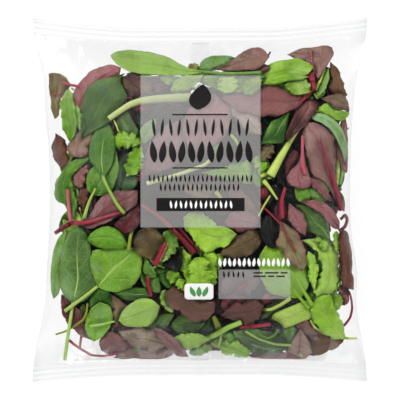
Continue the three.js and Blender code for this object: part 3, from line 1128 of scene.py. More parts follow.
# %% Leaves at the bottom left
BOTTOM_LEFT = [
    Stalk(CRIMSON, [(148, 276), (149, 286), (152, 296)], 1.6, 1.6),
    Leaf("round", LEAF_GREEN, (98, 286), (135, 248), blush=FRESH, petiole=((84, 297), (73, 305), (65, 311)),
         rib_tone=FRESH_RIB,
         left=((95, 278), (91, 270), (90, 258), (94, 249), (106, 247), (122, 246)),
         right=((104, 290), (120, 292), (133, 287), (141, 274), (143, 260), (141, 250))),
    Leaf("spinach", (74, 108, 44), (73, 303), (80, 227), blush=(100, 136, 68),
         petiole=((71, 318), (68, 338), (65, 361)),
         rib_tone=FRESH_RIB,
         left=((64, 296), (60, 285), (59, 272), (61, 258), (64, 244), (68, 233)),
         right=((84, 302), (95, 291), (99, 280), (95, 268), (92, 254), (90, 240), (86, 231))),
    Stalk(OLIVE_GREEN, [(56, 334), (66, 331), (76, 325), (84, 319), (87, 312), (88, 303)], 1.0, 1.2),
    Leaf("slender", FRESH, (54, 298), (67, 229),
         left=((51, 290), (50, 272), (53, 253), (58, 238)),
         right=((60, 293), (61, 275), (61, 258), (65, 242))),
    Stalk(FRESH_RIB, [(90, 326), (103, 324), (115, 321)], 1.6, 1.0),
    Leaf("round", LEAF_GREEN, (95, 341), (100, 302), blush=BRIGHT, rib_tone=LEAF_GREEN,
         left=((87, 335), (85, 325), (87, 315), (93, 307)),
         right=((104, 336), (110, 327), (114, 317), (110, 305))),
    Leaf("spinach", LIGHT_GREEN, (160, 306), (119, 320), blush=PALE_GREEN, rib_tone=PALE_GREEN,
         left=((157, 318), (148, 326), (136, 327), (124, 325)),
         right=((153, 299), (140, 297), (130, 304), (122, 311))),
    Leaf("oak", KHAKI, (117, 326), (112, 295), rib_tone=KHAKI,
         left=((114, 318), (112, 306)), right=((120, 318), (129, 307), (121, 299))),
    Leaf("beet", PLUM_RED, (94, 341), (62, 294), blush=ROSEWOOD,
         left=((80, 335), (68, 325), (62, 312), (61, 302)), right=((94, 327), (80, 310), (70, 300))),
    Stalk(CRIMSON, [(69, 340), (80, 348), (92, 355), (104, 356), (118, 353)], 1.5, 1.1),
    Stalk(CRIMSON, [(82, 334), (81, 341), (80, 348)], 1.5, 1.1),
    Leaf("spinach", MOSS, (82, 330), (84, 304), 12),
    Leaf("beet", (150, 108, 104), (189, 357), (151, 326), blush=ROSE, rib_tone=ROSE_RED,
         left=((180, 358), (170, 350), (160, 339)), right=((186, 350), (175, 337), (162, 329))),
    Leaf("oak", (184, 164, 142), (168, 345), (119, 331), blush=KHAKI, rib_tone=UMBER,
         left=((152, 353), (134, 349), (126, 342)), right=((160, 330), (150, 327), (134, 328))),
    Leaf("spinach", FRESH, (132, 350), (152, 348), 3, rib_tone=FRESH),
    Leaf("beet", ROSEWOOD, (124, 352), (105, 334), blush=MAUVE, rib_tone=ROSE,
         left=((110, 357), (101, 349), (99, 341)), right=((129, 345), (122, 336), (113, 331))),
    Leaf("beet", TAUPE, (174, 354), (114, 358), blush=MAUVE, rib_tone=MAUVE,
         left=((162, 364), (146, 365), (134, 360), (124, 364)), right=((160, 342), (140, 345), (124, 350))),
    Leaf("spinach", DARK_GREEN, (152, 296), (113, 292), left=((136, 301), (122, 298)),
         right=((146, 288), (130, 287))),
    Leaf("slender", GREEN, (157, 276), (142, 252), left=((148, 279), (142, 268)),
         right=((154, 268), (147, 258))),
    Leaf("slender", DARK_GREEN, (160, 292), (142, 270), 16),
    Leaf("spinach", DEEP_GREEN, (108, 314), (96, 288), 26),
    Leaf("spinach", SAGE, (146, 332), (174, 314), 15, sink=0.5, rib_tone=MOSS),
    Leaf("beet", ROSEWOOD, (136, 350), (106, 348), 16, sink=0.5, rib_tone=ROSEWOOD),
]

# %% Leaves along the bottom
BOTTOM_MIDDLE = [
    Leaf("curly", BRIGHT, (203, 300), (199, 257), 27, blush=BRIGHT, rib_tone=BRIGHT),
    Leaf("curly", BRIGHT, (202, 296), (184, 249), blush=BRIGHT, rib_tone=LIGHT_GREEN,
         left=((188, 290), (184, 277), (178, 266), (173, 256)),
         right=((206, 284), (202, 274), (198, 264), (191, 255))),
    Leaf("curly", BRIGHT, (204, 297), (211, 248), blush=LEAF_GREEN, rib_tone=LIGHT_GREEN,
         left=((194, 286), (196, 272), (200, 262), (204, 253)),
         right=((216, 290), (218, 278), (219, 264), (218, 254))),
    Leaf("curly", BRIGHT, (188, 268), (179, 247), 13, rib_tone=BRIGHT),
    Leaf("curly", BRIGHT, (207, 266), (204, 247), 13, rib_tone=BRIGHT),
    Leaf("curly", BRIGHT, (212, 276), (221, 254), 12, rib_tone=BRIGHT),
    Leaf("curly", BRIGHT, (190, 290), (178, 280), 12, rib_tone=BRIGHT),
    Leaf("lettuce", (140, 176, 66), (186, 266), (150, 259), 12, rib_tone=LIGHT_GREEN),
    Stalk(RIB_GREEN, [(153, 268), (162, 264), (171, 264)], 0.9, 0.7),
    Leaf("lettuce", LEAF_GREEN, (186, 286), (168, 272), 14, rib_tone=GRASS),
    Leaf("oak", (104, 72, 58), (215, 311), (168, 291), blush=ROSEWOOD, rib_tone=UMBER,
         left=((206, 321), (197, 323), (184, 317), (172, 308), (165, 299)),
         right=((216, 302), (203, 298), (190, 283), (177, 283))),
    Leaf("lettuce", LEAF_GREEN, (172, 312), (164, 290), 14, rib_tone=LIGHT_GREEN),
    Leaf("spinach", DARK_GREEN, (188, 286), (158, 276), 16),
    Leaf("lettuce", LIGHT_GREEN, (210, 338), (174, 342), blush=LIGHT_GREEN, rib_tone=RIB_GREEN,
         left=((204, 344), (194, 349), (182, 350)), right=((198, 332), (184, 333), (176, 335))),
    Stalk(LIGHT_GREEN, [(242, 322), (229, 327), (217, 334), (206, 339)], 2.6, 3.0),
    Stalk(OLIVE_GREEN, [(214, 316), (217, 322), (220, 330)], 2.2, 4.0),
    Stalk(RIB_GREEN, [(222, 332), (221, 340), (219, 346)], 1.5, 1.0),
    Stalk(LIGHT_GREEN, [(212, 343), (225, 349), (240, 353), (251, 353)], 1.2, 0.9),
    Leaf("curly", SPRING, (212, 342), (250, 356), 20, -1, rib_tone=LIGHT_GREEN),
    Leaf("oak", (98, 64, 54), (222, 315), (264, 305), blush=PLUM_RED, rib_tone=RUST,
         left=((232, 304), (245, 300), (258, 299)), right=((236, 321), (247, 325), (260, 321))),
    Stalk(CRIMSON, [(240, 327), (255, 326), (271, 324)], 1.5, 1.8),
    Leaf("lettuce", FRESH, (214, 346), (190, 353), 12, rib_tone=LIGHT_GREEN),
    Leaf("beet", DUSKY, (210, 344), (190, 350), 12),
    Stalk(FRESH, [(257, 329), (262, 335), (268, 338), (275, 335), (279, 329)], 1.0, 1.4),
    Stalk(LIGHT_GREEN, [(246, 331), (260, 339), (276, 344), (292, 345)], 1.2, 1.4),
    Stalk(FRESH, [(252, 344), (264, 348), (280, 349)], 1.0, 0.8),
    Leaf("spinach", MOSS, (234, 331), (288, 349), blush=BLUE_GREEN, rib_tone=FRESH,
         left=((252, 328), (272, 332), (287, 340)), right=((238, 344), (254, 354), (274, 355))),
    Leaf("spinach", MOSS, (172, 324), (206, 320), 20, 2, rib_tone=MOSS),
    Leaf("spinach", SHADE_GREEN, (190, 331), (222, 320), 18, rib_tone=MOSS),
    Leaf("beet", ROSE, (250, 356), (291, 359), 12),
    Leaf("spinach", LEAF_GREEN, (206, 340), (246, 340), 18),
    Leaf("beet", DUSKY, (188, 343), (232, 347), 13, rib_tone=DUSKY),
    Leaf("beet", DUSKY, (194, 346), (146, 340), 15, rib_tone=DUSKY),
    Leaf("beet", DUSKY, (256, 356), (300, 358), 14),
    gap((194, 326), (222, 326), 18),
    gap((158, 331), (198, 337), 20),
    gap((212, 332), (242, 332), 14),
    gap((254, 330), (284, 328), 20),
    Leaf("spinach", DEEP_GREEN, (150, 262), (190, 276), 24),
    Leaf("beet", MAROON, (222, 302), (262, 312), 24, sink=2),
]

# %% Leaves at the bottom right, and the last ones under them all
BOTTOM_RIGHT = [
    Stalk(BRIGHT, [(292, 271), (300, 284), (307, 295), (313, 305)], 1.2, 2.2),
    Stalk(BRIGHT, [(293, 289), (300, 297), (310, 308)], 1.0, 2.2),
    Stalk(RIB_GREEN, [(261, 310), (272, 309), (282, 304), (291, 298)], 1.4, 2.0),
    Leaf("curly", SPRING, (315, 290), (309, 251), blush=BRIGHT, rib_tone=BRIGHT,
         left=((309, 279), (308, 268), (306, 259)), right=((319, 276), (320, 265), (315, 254))),
    Leaf("lettuce", BRIGHT, (346, 338), (316, 299), blush=BRIGHT, rib_tone=RIB_GREEN,
         left=((334, 340), (322, 332), (313, 322), (310, 310)),
         right=((344, 322), (338, 309), (333, 295), (324, 294))),
    Stalk(RIB_GREEN, [(311, 320), (316, 328), (326, 334), (346, 338)], 0.9, 1.6),
    Stalk(RIB_GREEN, [(346, 338), (353, 338), (359, 338)], 1.5, 0.8),
    Stalk(CRIMSON, [(232, 297), (239, 290), (247, 283)], 0.9, 1.2),
    Leaf("curly", SPRING, (318, 304), (303, 240), blush=PALE_GREEN, rib_tone=LIGHT_GREEN,
         left=((314, 292), (319, 278), (321, 264), (317, 252), (310, 245)),
         right=((332, 295), (340, 282), (343, 268), (339, 252), (334, 241), (318, 237))),
    Leaf("curly", LEAF_GREEN, (334, 290), (346, 264), 14),
    Leaf("rib", RIB_GREEN, (322, 304), (272, 319), blush=BRIGHT, rib_tone=RIB_GREEN,
         left=((306, 300), (294, 305), (284, 309), (274, 313)),
         right=((312, 318), (298, 323), (287, 328), (274, 327))),
    Stalk(OLIVE_GREEN, [(281, 320), (289, 314), (297, 308)], 0.6, 0.6),
    Leaf("round", BRIGHT, (302, 298), (276, 240), blush=LEAF_GREEN, rib_tone=LIGHT_GREEN,
         left=((286, 297), (268, 292), (260, 276), (260, 256), (266, 245)),
         right=((310, 285), (308, 265), (300, 247))),
    Leaf("lettuce", LEAF_GREEN, (336, 312), (339, 294), 12),
    Stalk(ROSE_RED, [(343, 285), (350, 291), (353, 300), (354, 308), (351, 317), (345, 326)], 1.0, 1.4),
    Leaf("beet", ROSEWOOD, (344, 305), (342, 283), 12, 2),
    Leaf("beet", (190, 166, 150), (301, 329), (298, 363), blush=(176, 150, 134), rib_tone=ROSE,
         left=((309, 339), (313, 352), (306, 360)), right=((295, 336), (289, 347), (286, 354), (290, 360))),
    Leaf("oak", UMBER, (302, 347), (346, 338), blush=RUST, rib_tone=UMBER,
         left=((315, 336), (330, 334), (342, 333)), right=((310, 357), (325, 354), (340, 347))),
    Leaf("oak", ROSEWOOD, (296, 323), (326, 336), left=((306, 319), (318, 328)),
         right=((300, 332), (314, 339))),
    Leaf("spinach", GREEN, (284, 326), (297, 346), 18, rib_tone=MOSS),
    Leaf("spinach", SHADE_GREEN, (262, 316), (296, 300), 16, rib_tone=MOSS),
    Leaf("beet", DUSKY, (262, 300), (300, 302), 20, sink=1),
    Leaf("beet", (112, 98, 94), (222, 292), (262, 274), 28, sink=0.5, rib_tone=PLUM_RED,
         blush=(112, 98, 94)),
    Leaf("spinach", DARK_GREEN, (262, 318), (290, 332), 22),
    gap((286, 350), (328, 336), 26),
    gap((282, 300), (312, 284), 22),
    Leaf("curly", LEAF_GREEN, (330, 300), (340, 283), 11),
    Leaf("oak", PLUM_RED, (104, 342), (134, 322), 18, sink=0.5),
    Leaf("oak", DARK_OLIVE, (100, 336), (122, 300), 20, sink=1),
    Leaf("spinach", DARK_GREEN, (312, 302), (322, 246), 24, rib_tone=DARK_GREEN),
]

# %% All that shows, the uppermost first
SHOWN = [
    *TOP_LEFT, *TOP_MIDDLE, *TOP_RIGHT, *LEFT_MIDDLE, *RIGHT_MIDDLE, *PANEL_UNDER, *BOTTOM_LEFT,
    *BOTTOM_MIDDLE, *BOTTOM_RIGHT,
]
print("leaves and stalks placed by hand:", len(SHOWN))

# %% [markdown]
# ## Growing one leaf
# A leaf is a flat grid whose rows run across it. Its middle line goes from the base to the tip
# and may bend to one side. The blade ripples towards its edge, because the edge of a leaf grows
# faster than its middle, and it sinks a little along the midrib and the side veins. Then the
# pile says how high each point can lie.


# %% Points of a blade
ARCH = 3.5
TWIST = 3.0
CUP = 2.2
PATCHES = 0.16
PATCH_WAVES = [(5, 2), (8, -3), (3, 4)]  # waves of tone along and across a blade
DRAWN_CUT = 0.6  # the share of its lobes and teeth that a blade with given edges keeps


def smooth_line(x, y, count):
    """The same line with evenly spaced points and its corners rounded off."""
    run = np.concatenate([[0], np.cumsum(np.hypot(np.diff(x), np.diff(y)))])
    even = np.linspace(0, run[-1], count)
    x, y = np.interp(even, run, x), np.interp(even, run, y)
    for _ in range(2):
        x[1:-1] = (x[:-2] + 2 * x[1:-1] + x[2:]) / 4
        y[1:-1] = (y[:-2] + 2 * y[1:-1] + y[2:]) / 4
    return x, y


def grown_edges(form, base, tip, width, bend, phases):
    """Both edges and the middle line of a blade that keeps to the numbers of its form."""
    t = np.linspace(0, 1, form.rows + 1)
    length = math.hypot(*(tip - base))
    forward = (tip - base) / length
    right = np.array([forward[1], -forward[0]])
    slope = 4 * (1 - 2 * t) * bend / length
    stretch = np.sqrt(1 + slope**2)
    middle = base + np.outer(length * t, forward) + np.outer(4 * t * (1 - t) * bend, right)
    across = (right[None, :] - np.outer(slope, forward)) / stretch[:, None] * width / 2
    left_edge = middle - across * form.half_width(t, phases[0])[:, None]
    right_edge = middle + across * form.half_width(t, phases[1])[:, None]
    return left_edge, middle, right_edge


def drawn_edges(form, left, right, phases):
    """The same for a blade whose edges are given as points from its base to its tip."""
    t = np.linspace(0, 1, form.rows + 1)[:, None]
    left_edge = np.stack(smooth_line(left[:, 0], left[:, 1], form.rows + 1), -1)
    right_edge = np.stack(smooth_line(right[:, 0], right[:, 1], form.rows + 1), -1)
    middle = (left_edge + right_edge) / 2
    left_edge = middle + (left_edge - middle) * (1 - DRAWN_CUT * (1 - form.cut(t, phases[0])))
    right_edge = middle + (right_edge - middle) * (1 - DRAWN_CUT * (1 - form.cut(t, phases[1])))
    return left_edge, middle, right_edge


def blade_waves(form, cup, phases):
    """The heights of a blade's own waves, in millimetres."""
    t = np.linspace(0, 1, form.rows + 1)[:, None]
    u = np.linspace(-1, 1, form.columns + 1)[None, :]
    ripple_phase = np.where(u < 0, phases[2], phases[3])
    ripple = form.ruffle * np.abs(u) ** 2.5 * np.sin(2 * math.pi * (form.ripples * t + ripple_phase))
    arch = leaf_rng.uniform(-ARCH, ARCH) * np.sin(math.pi * t)
    arch = arch + leaf_rng.uniform(-TWIST, TWIST) * u * (t - 0.5)
    cup = cup + leaf_rng.uniform(-CUP, CUP)
    vein_place = form.veins * t - form.slant * np.abs(u)
    quilt = np.abs(np.sin(math.pi * vein_place)) ** 0.7 * np.sin(math.pi * np.clip(np.abs(u), 0, 1))
    groove = np.exp(-((u / 0.12) ** 2)) * (1 - 0.6 * t)
    return ripple + arch + cup * u**2 + form.quilt * (quilt - 0.5 * groove)


def across_blade(edges, columns):
    """Fills the room between both edges with a grid of points."""
    left_edge, middle, right_edge = edges
    u = np.linspace(-1, 1, columns + 1)[None, :, None]
    reach = np.where(u < 0, left_edge[:, None] - middle[:, None], right_edge[:, None] - middle[:, None])
    places = middle[:, None] + np.abs(u) * reach
    return places[..., 0], places[..., 1]


def blade_tones(form, leaf):
    """A tone for each point: the leaf's own, which drifts towards its blush in soft patches."""
    t = np.linspace(0, 1, form.rows + 1)[:, None]
    u = np.linspace(-1, 1, form.columns + 1)[None, :]
    turns = leaf_rng.uniform(0, 2 * math.pi, 3)
    patches = sum(np.sin(i * t + j * u + turn) for (i, j), turn in zip(PATCH_WAVES, turns))
    share = form.blush_base * (1 - t) ** 2 * (1 - 0.5 * u**2) + form.blush_edge * u**4 + PATCHES * patches
    share = np.clip(share, 0, 1)[..., None]
    own, blush = np.array(varied(leaf.tone)), np.array(varied(leaf.blush or form.blush))
    return own * (1 - share) + blush * share


WORKS = {name: Work() for name in ("spinach", "beet_leaves", "red_lettuce", "green_lettuce", "stalks")}
TONE_SPREAD = 0.07


def varied(tone):
    """The tone as light, a little lighter, darker, warmer or cooler than its neighbours."""
    light = np.array(linear(tone)[:3])
    light = light * (1 + leaf_rng.normal(0, TONE_SPREAD)) * (1 + leaf_rng.normal(0, TONE_SPREAD / 2, 3))
    return (*np.clip(light, 0, 1), 1)


# %% [markdown]
# ## Stalks and midribs
# A stalk is a tube: a grid rolled round its middle line. Thick lettuce ribs are flatter than they
# are wide. The midrib of a leaf is the same kind of tube. It lies on the blade, thins out towards
# the tip, and goes on past the base as the leaf's stalk.

# %% Tubes
TUBE_SIDES = 7
FLATTEST = 0.55


def tube(x, y, top, radius, tone, side):
    """A tube whose upper side runs through the points, in millimetres. top is counted outwards."""
    dx, dy = np.gradient(x), np.gradient(y)
    size = np.maximum(np.hypot(dx, dy), 1e-6)
    tall = np.minimum(radius, FLATTEST * radius + 0.4)
    turn = np.linspace(0, 2 * math.pi, TUBE_SIDES + 1)[None, :]
    wide = radius[:, None] * np.cos(turn)
    place_x = x[:, None] + (dy / size)[:, None] * wide
    place_y = y[:, None] - (dx / size)[:, None] * wide
    height = (top - tall)[:, None] + tall[:, None] * np.sin(turn)
    WORKS["stalks"].sheet(np.stack([place_x, place_y, side * height], -1), tone)


def lay_strip(pile, x, y, radius, sink=0):
    """Lays a stalk on the pile and returns the height of its upper side."""
    dx, dy = np.gradient(x), np.gradient(y)
    size = np.maximum(np.hypot(dx, dy), 1e-6)
    offset = np.array([-1, 0, 1])[None, :] * radius[:, None]
    strip_x = x[:, None] + (dy / size)[:, None] * offset
    strip_y = y[:, None] - (dx / size)[:, None] * offset
    top = pile.lay(strip_x, strip_y, 0, sink, STALK_STIFFNESS).min(axis=1)
    pile.cover(strip_x, strip_y, np.repeat(top[:, None], 3, 1), 1.2 * radius.max())
    return top


def lay_stalk(pile, stalk, points_x, points_y):
    x, y = smooth_line(points_x, points_y, 6 * len(points_x))
    x, y = keep_inside(x, y)
    radius = np.linspace(stalk.start, stalk.end, len(x)) * PIXEL
    top = lay_strip(pile, x, y, radius, stalk.sink)
    tube(x, y, top, radius, varied(stalk.tone), pile.side)


# %% Lay one leaf
RIB_TONES = {
    "spinach": SOFT_GREEN,
    "beet_leaves": CRIMSON,
    "red_lettuce": OLIVE,
    "green_lettuce": RIB_GREEN,
}
RIB_REACH = 0.62
RIB_THIN = 0.18
RIB_LIFT = 0.25
FULL_WIDTH = 18  # narrower leaves have a thinner midrib


def lay_blade(pile, leaf, base, tip, width, left, right):
    """Lays the blade and returns its points, their heights and how wide it is."""
    form = FORMS[leaf.form]
    phases = leaf_rng.uniform(0, 1, 4)
    if len(left):
        edges = drawn_edges(form, np.array([base, *left, tip]), np.array([base, *right, tip]), phases)
        width = float(np.max(np.hypot(*(edges[2] - edges[0]).T)))
    else:
        edges = grown_edges(form, base, tip, width, leaf.bend * PIXEL, phases)
    x, y = keep_inside(*across_blade(edges, form.columns))
    height = pile.lay(x, y, blade_waves(form, leaf.cup, phases), leaf.sink)
    pile.cover(x, y, height)
    points = np.stack([x, y, pile.side * height], -1)
    WORKS[form.piece].sheet(points, blade_tones(form, leaf), flip=pile.side < 0)
    return x, y, height, width


def lay_petiole(pile, base, petiole, thick):
    """The leaf's stalk past the base of its blade: its line, its upper side and its radius."""
    line_x, line_y = smooth_line(
        np.concatenate([[base[0]], petiole[:, 0]]), np.concatenate([[base[1]], petiole[:, 1]]), 14
    )
    x, y = keep_inside(line_x[1:], line_y[1:])
    radius = np.linspace(thick, 1.15 * thick, len(x))
    return x, y, lay_strip(pile, x, y, radius), radius


def lay_leaf(pile, leaf, base, tip, petiole, width, left=(), right=()):
    x, y, height, width = lay_blade(pile, leaf, base, tip, width, left, right)
    form = FORMS[leaf.form]
    middle = form.columns // 2
    last = round(RIB_REACH * form.rows)
    rib_x, rib_y = x[last::-2, middle], y[last::-2, middle]
    rib_top = height[last::-2, middle] + RIB_LIFT + LEAF_THICKNESS / 2
    thick = form.rib * min(1, width / FULL_WIDTH)
    radius = RIB_THIN + (thick - RIB_THIN) * np.linspace(0, 1, len(rib_x)) ** 1.6
    if len(petiole):
        tail_x, tail_y, tail_top, tail_radius = lay_petiole(pile, base, petiole, thick)
        rib_x, rib_y = np.append(rib_x, tail_x), np.append(rib_y, tail_y)
        rib_top, radius = np.append(rib_top, tail_top), np.append(radius, tail_radius)
    tone = leaf.rib_tone or RIB_TONES[form.piece]
    tube(rib_x, rib_y, rib_top, radius, varied(tone), pile.side)


# %% Lay what shows
for item in SHOWN:
    if isinstance(item, Stalk):
        lay_stalk(front_pile, item, *on_bag(item.points))
    else:
        places = np.stack(on_bag([item.base, item.tip, *item.petiole, *item.left, *item.right]), -1)
        parts = np.split(places, np.cumsum([1, 1, len(item.petiole), len(item.left)]))
        base, tip, petiole, left, right = parts
        lay_leaf(front_pile, item, base[0], tip[0], petiole, item.width * PIXEL, left, right)
print("the front pile is", round(float(front_pile.level.max()), 1), "mm high at its highest free point")

# %% [markdown]
# ## The rest of the leaves
# Under the leaves that show there are many more, and the back of the bag shows its own. Nobody
# can see from the photograph which leaf lies where, so these are drawn at random from the same
# mix. They are spread by a spiral of golden angles, which covers an oval evenly without looking
# like rows. The leaves of the dark core are seen only as shadow between others, and their
# near-black and very dark tones are painted shade. So their grid is coarser, and they keep
# further from the outline.

# %% Fill the bag
# Each kind of leaf in a mix: its form, its tone, its width and its length in millimetres
MIX = [
    ("spinach", GREEN, 30, 48),
    ("beet", DUSKY, 27, 46),
    ("oak", UMBER, 32, 42),
    ("spinach", DARK_GREEN, 27, 44),
    ("beet", MAUVE, 26, 44),
    ("lettuce", LEAF_GREEN, 32, 44),
    ("oak", RUST, 30, 42),
    ("round", LEAF_GREEN, 32, 44),
    ("curly", GRASS, 30, 46),
    ("rocket", GREEN, 20, 48),
    ("beet", MAROON, 26, 44),
]
# The dark core's tones are painted shade: near-black, the darkest green and a very dark red.
DEEP_MIX = [
    ("deep", SHADOW_BLACK, 30, 48),
    ("beet", DARK_RED, 28, 46),
    ("oak", DARK_RED, 32, 42),
    ("deep", SHADE_GREEN, 28, 46),
    ("deep", SHADE_GREEN, 34, 44),
]
FILL_SEED = 3
GOLDEN_ANGLE = math.pi * (3 - math.sqrt(5))
SPREAD_X = 0.95
SPREAD_Y = 0.88
FRONT_FILL = 64
BACK_FILL = 104
REACH_X = 99
REACH_UP = 86
REACH_DOWN = 100
DEEP_INSET = 9  # how much further from the outline the dark leaves of the core stay
CORNER_ROOM = 0.7


def scattered(count, turn):
    """Places over the whole bag, from the middle outwards, in the bag's (a, b)."""
    for i in range(count):
        reach = math.sqrt((i + 0.5) / count)
        angle = i * GOLDEN_ANGLE + turn
        c, s = math.cos(angle), math.sin(angle)
        square = reach / max(abs(c), abs(s)) ** 0.8
        yield SPREAD_X * square * c, SPREAD_Y * square * s


def draw_in(middle, room):
    """Moves a leaf so that it stays inside the outline, whose corners are round."""
    outline = np.array([REACH_X, REACH_DOWN])
    middle = np.clip(middle, -outline + room, [REACH_X, REACH_UP] - room)
    corner = (np.abs(middle) + CORNER_ROOM * room) / outline
    return middle / max(1, float((corner**5).sum() ** 0.2))


def fill(pile, count, turn, sink, mix, inset=0):
    """Lays leaves of a mix all over the pile. An inset means leaves of the dark core."""
    for i, (a, b) in enumerate(scattered(count, turn)):
        form, tone, width, length = mix[leaf_rng.integers(len(mix))]
        size = leaf_rng.uniform(0.8, 1.2)
        angle = leaf_rng.uniform(0, 2 * math.pi)
        reach = np.array([math.cos(angle), math.sin(angle)]) * length * size / 2
        room = np.abs(reach) + width * np.abs(reach[::-1]) / length + inset
        middle = draw_in(np.array([a * WAIST_HALF_WIDTH, b * MIDDLE_HALF_LENGTH]), room)
        leaf = Leaf(form, tone, None, None, width, leaf_rng.normal(0, 5), leaf_rng.normal(0, 1.5))
        if inset:
            leaf.blush = leaf.rib_tone = tone
        leaf.sink = leaf_rng.uniform(*sink)
        stalk = middle - reach * leaf_rng.uniform(1.3, 1.9) + leaf_rng.normal(0, 3, 2)
        stalk = np.clip(stalk, [-0.9 * REACH_X, -0.85 * REACH_DOWN], [0.9 * REACH_X, 0.9 * REACH_UP])
        petiole = np.array([stalk]) if i % 2 else np.empty((0, 2))
        lay_leaf(pile, leaf, middle - reach, middle + reach, petiole, width * size)


leaf_rng = np.random.default_rng(FILL_SEED)
fill(front_pile, FRONT_FILL, 0.4, (2, 6), DEEP_MIX, DEEP_INSET)
fill(back_pile, BACK_FILL, 1.1, (0, 1.5), MIX)
fill(back_pile, FRONT_FILL, 2.3, (2, 5), DEEP_MIX, DEEP_INSET)
print("the free core is", round(float((front_pile.level + back_pile.level).max()), 1), "mm deep")

# %% [markdown]
# ## The finish of the leaves
# A leaf is lit from outside and dark in its depth, a little glossy where its wax is smooth, and
# never one colour: the veins are paler, or crimson on beet, the blade is mottled, and the edge
# thins out. Soft patches of painted sheen and tiny specks of painted glint lighten it too. The
# veins follow the leaf's UV map, where U runs across the blade and V along it. Each leaf's own
# tone comes from a colour stored in its points. A leaf of the dark core has a near-black tone,
# painted for the shade it lies in, and stays plain: its veins, spots, painted sheen and glints
# are weakened by how dark that tone is.


# %% Leaf materials
@dataclass
class Finish:
    veins: tuple
    vein_share: float
    edge: tuple
    edge_share: float
    sheen: tuple
    sheen_share: float
    roughness: float


def vein_lines(paint, form, side, along, broad):
    """1 on the midrib, and less on the side veins and on the fine net between them."""
    rib = 1 - side.rise(0.02, 0.11)
    bent = along * form.veins - side * form.slant + broad * 0.5
    off_vein = bent.math("PINGPONG", 0.5)
    vein = (1 - off_vein.rise(0.01, 0.08)) * (1 - side.rise(0.5, 1.0)) * 0.7
    cell_inputs = {"Vector": paint.place(), "Scale": 260}
    cells = paint.node("ShaderNodeTexVoronoi", {"feature": "DISTANCE_TO_EDGE"}, cell_inputs)
    net = (1 - cells.rise(0.02, 0.16)) * 0.3
    return rib.math("MAXIMUM", vein.math("MAXIMUM", net))


def leaf_paint(name, form, finish):
    paint = Paint(name, IOR=1.42, Specular_IOR_Level=0.3)
    tone = paint.node("ShaderNodeAttribute", {"attribute_name": "tone"})
    uv = paint.node("ShaderNodeUVMap", {"uv_map": "leaf"})
    across = paint.node("ShaderNodeSeparateXYZ", None, {0: uv}, 0)
    along = paint.node("ShaderNodeSeparateXYZ", None, {0: uv}, 1)
    side = abs(across * 2 - 1)
    # How light a leaf's tone is; the near-black tones of the core are painted shade.
    lit = paint.node("ShaderNodeRGBToBW", None, {0: tone}).rise(0.01, 0.22)
    fine = paint.noise(420, 3, 0.6)
    broad = paint.noise(70, 3, 0.6)
    # Painted sheen: soft pale patches where the colour goes towards the finish's sheen tone.
    sheen_patch = paint.noise(46, 1, 0.4).rise(0.54, 0.66)
    lines = vein_lines(paint, form, side, along, broad)

    colour = paint.mix(broad.rise(0.3, 0.5), paint.mix(0.3, tone, (0, 0, 0, 1)), tone)
    colour = paint.mix(broad.rise(0.5, 0.75) * lit * 0.35, colour, linear(finish.edge))
    colour = paint.mix(side.rise(0.6, 1.0) * lit * finish.edge_share, colour, linear(finish.edge))
    colour = paint.mix(lines * lit * finish.vein_share, colour, linear(finish.veins))
    colour = paint.mix(sheen_patch * lit * finish.sheen_share, colour, linear(finish.sheen))
    colour = paint.mix(fine * 0.16, colour, (0.01, 0.02, 0.005, 1))
    # Painted glints: tiny pale specks in the sheen tone.
    glint_specks = paint.noise(900, 1, 0.5).rise(0.69, 0.75) * paint.noise(60, 1, 0.5).rise(0.5, 0.6)
    colour = paint.mix(glint_specks * lit * 0.4, colour, linear(finish.sheen))
    relief = 0.5 * fine + broad * 2.0 - lines * 0.7
    rough = finish.roughness + fine * 0.2 - sheen_patch * 0.1
    paint.feed(Base_Color=colour, Roughness=rough, Normal=paint.bump(relief, 0.0012, 0.7))
    return paint.material


# Each finish: vein tone and share, edge tone and share, painted sheen tone and share, roughness.
FINISHES = {
    "spinach": Finish((174, 206, 112), 0.5, (150, 184, 84), 0.15, (170, 200, 160), 0.22, 0.34),
    "beet_leaves": Finish((156, 44, 66), 0.4, (100, 60, 56), 0.3, (196, 156, 158), 0.25, 0.36),
    "red_lettuce": Finish((136, 120, 72), 0.3, (124, 60, 52), 0.4, (178, 146, 126), 0.12, 0.4),
    "green_lettuce": Finish((190, 212, 112), 0.32, (164, 208, 70), 0.3, (200, 224, 150), 0.22, 0.36),
}
PAINTS = {
    "spinach": leaf_paint("spinach_leaf", FORMS["spinach"], FINISHES["spinach"]),
    "beet_leaves": leaf_paint("beet_leaf", FORMS["beet"], FINISHES["beet_leaves"]),
    "red_lettuce": leaf_paint("red_lettuce_leaf", FORMS["oak"], FINISHES["red_lettuce"]),
    "green_lettuce": leaf_paint("green_lettuce_leaf", FORMS["lettuce"], FINISHES["green_lettuce"]),
}
SLOTS = {
    "spinach": "spinach",
    "beet_leaves": "beet_leaf",
    "red_lettuce": "beet_leaf",
    "green_lettuce": "lettuce",
}

for name, paint in PAINTS.items():
    bmesh.ops.triangulate(WORKS[name].bm, faces=WORKS[name].bm.faces)
    piece = WORKS[name].finish(name, paint, SLOTS[name])
    thicken(piece, LEAF_THICKNESS)
    print(name, "triangles:", triangles(piece))

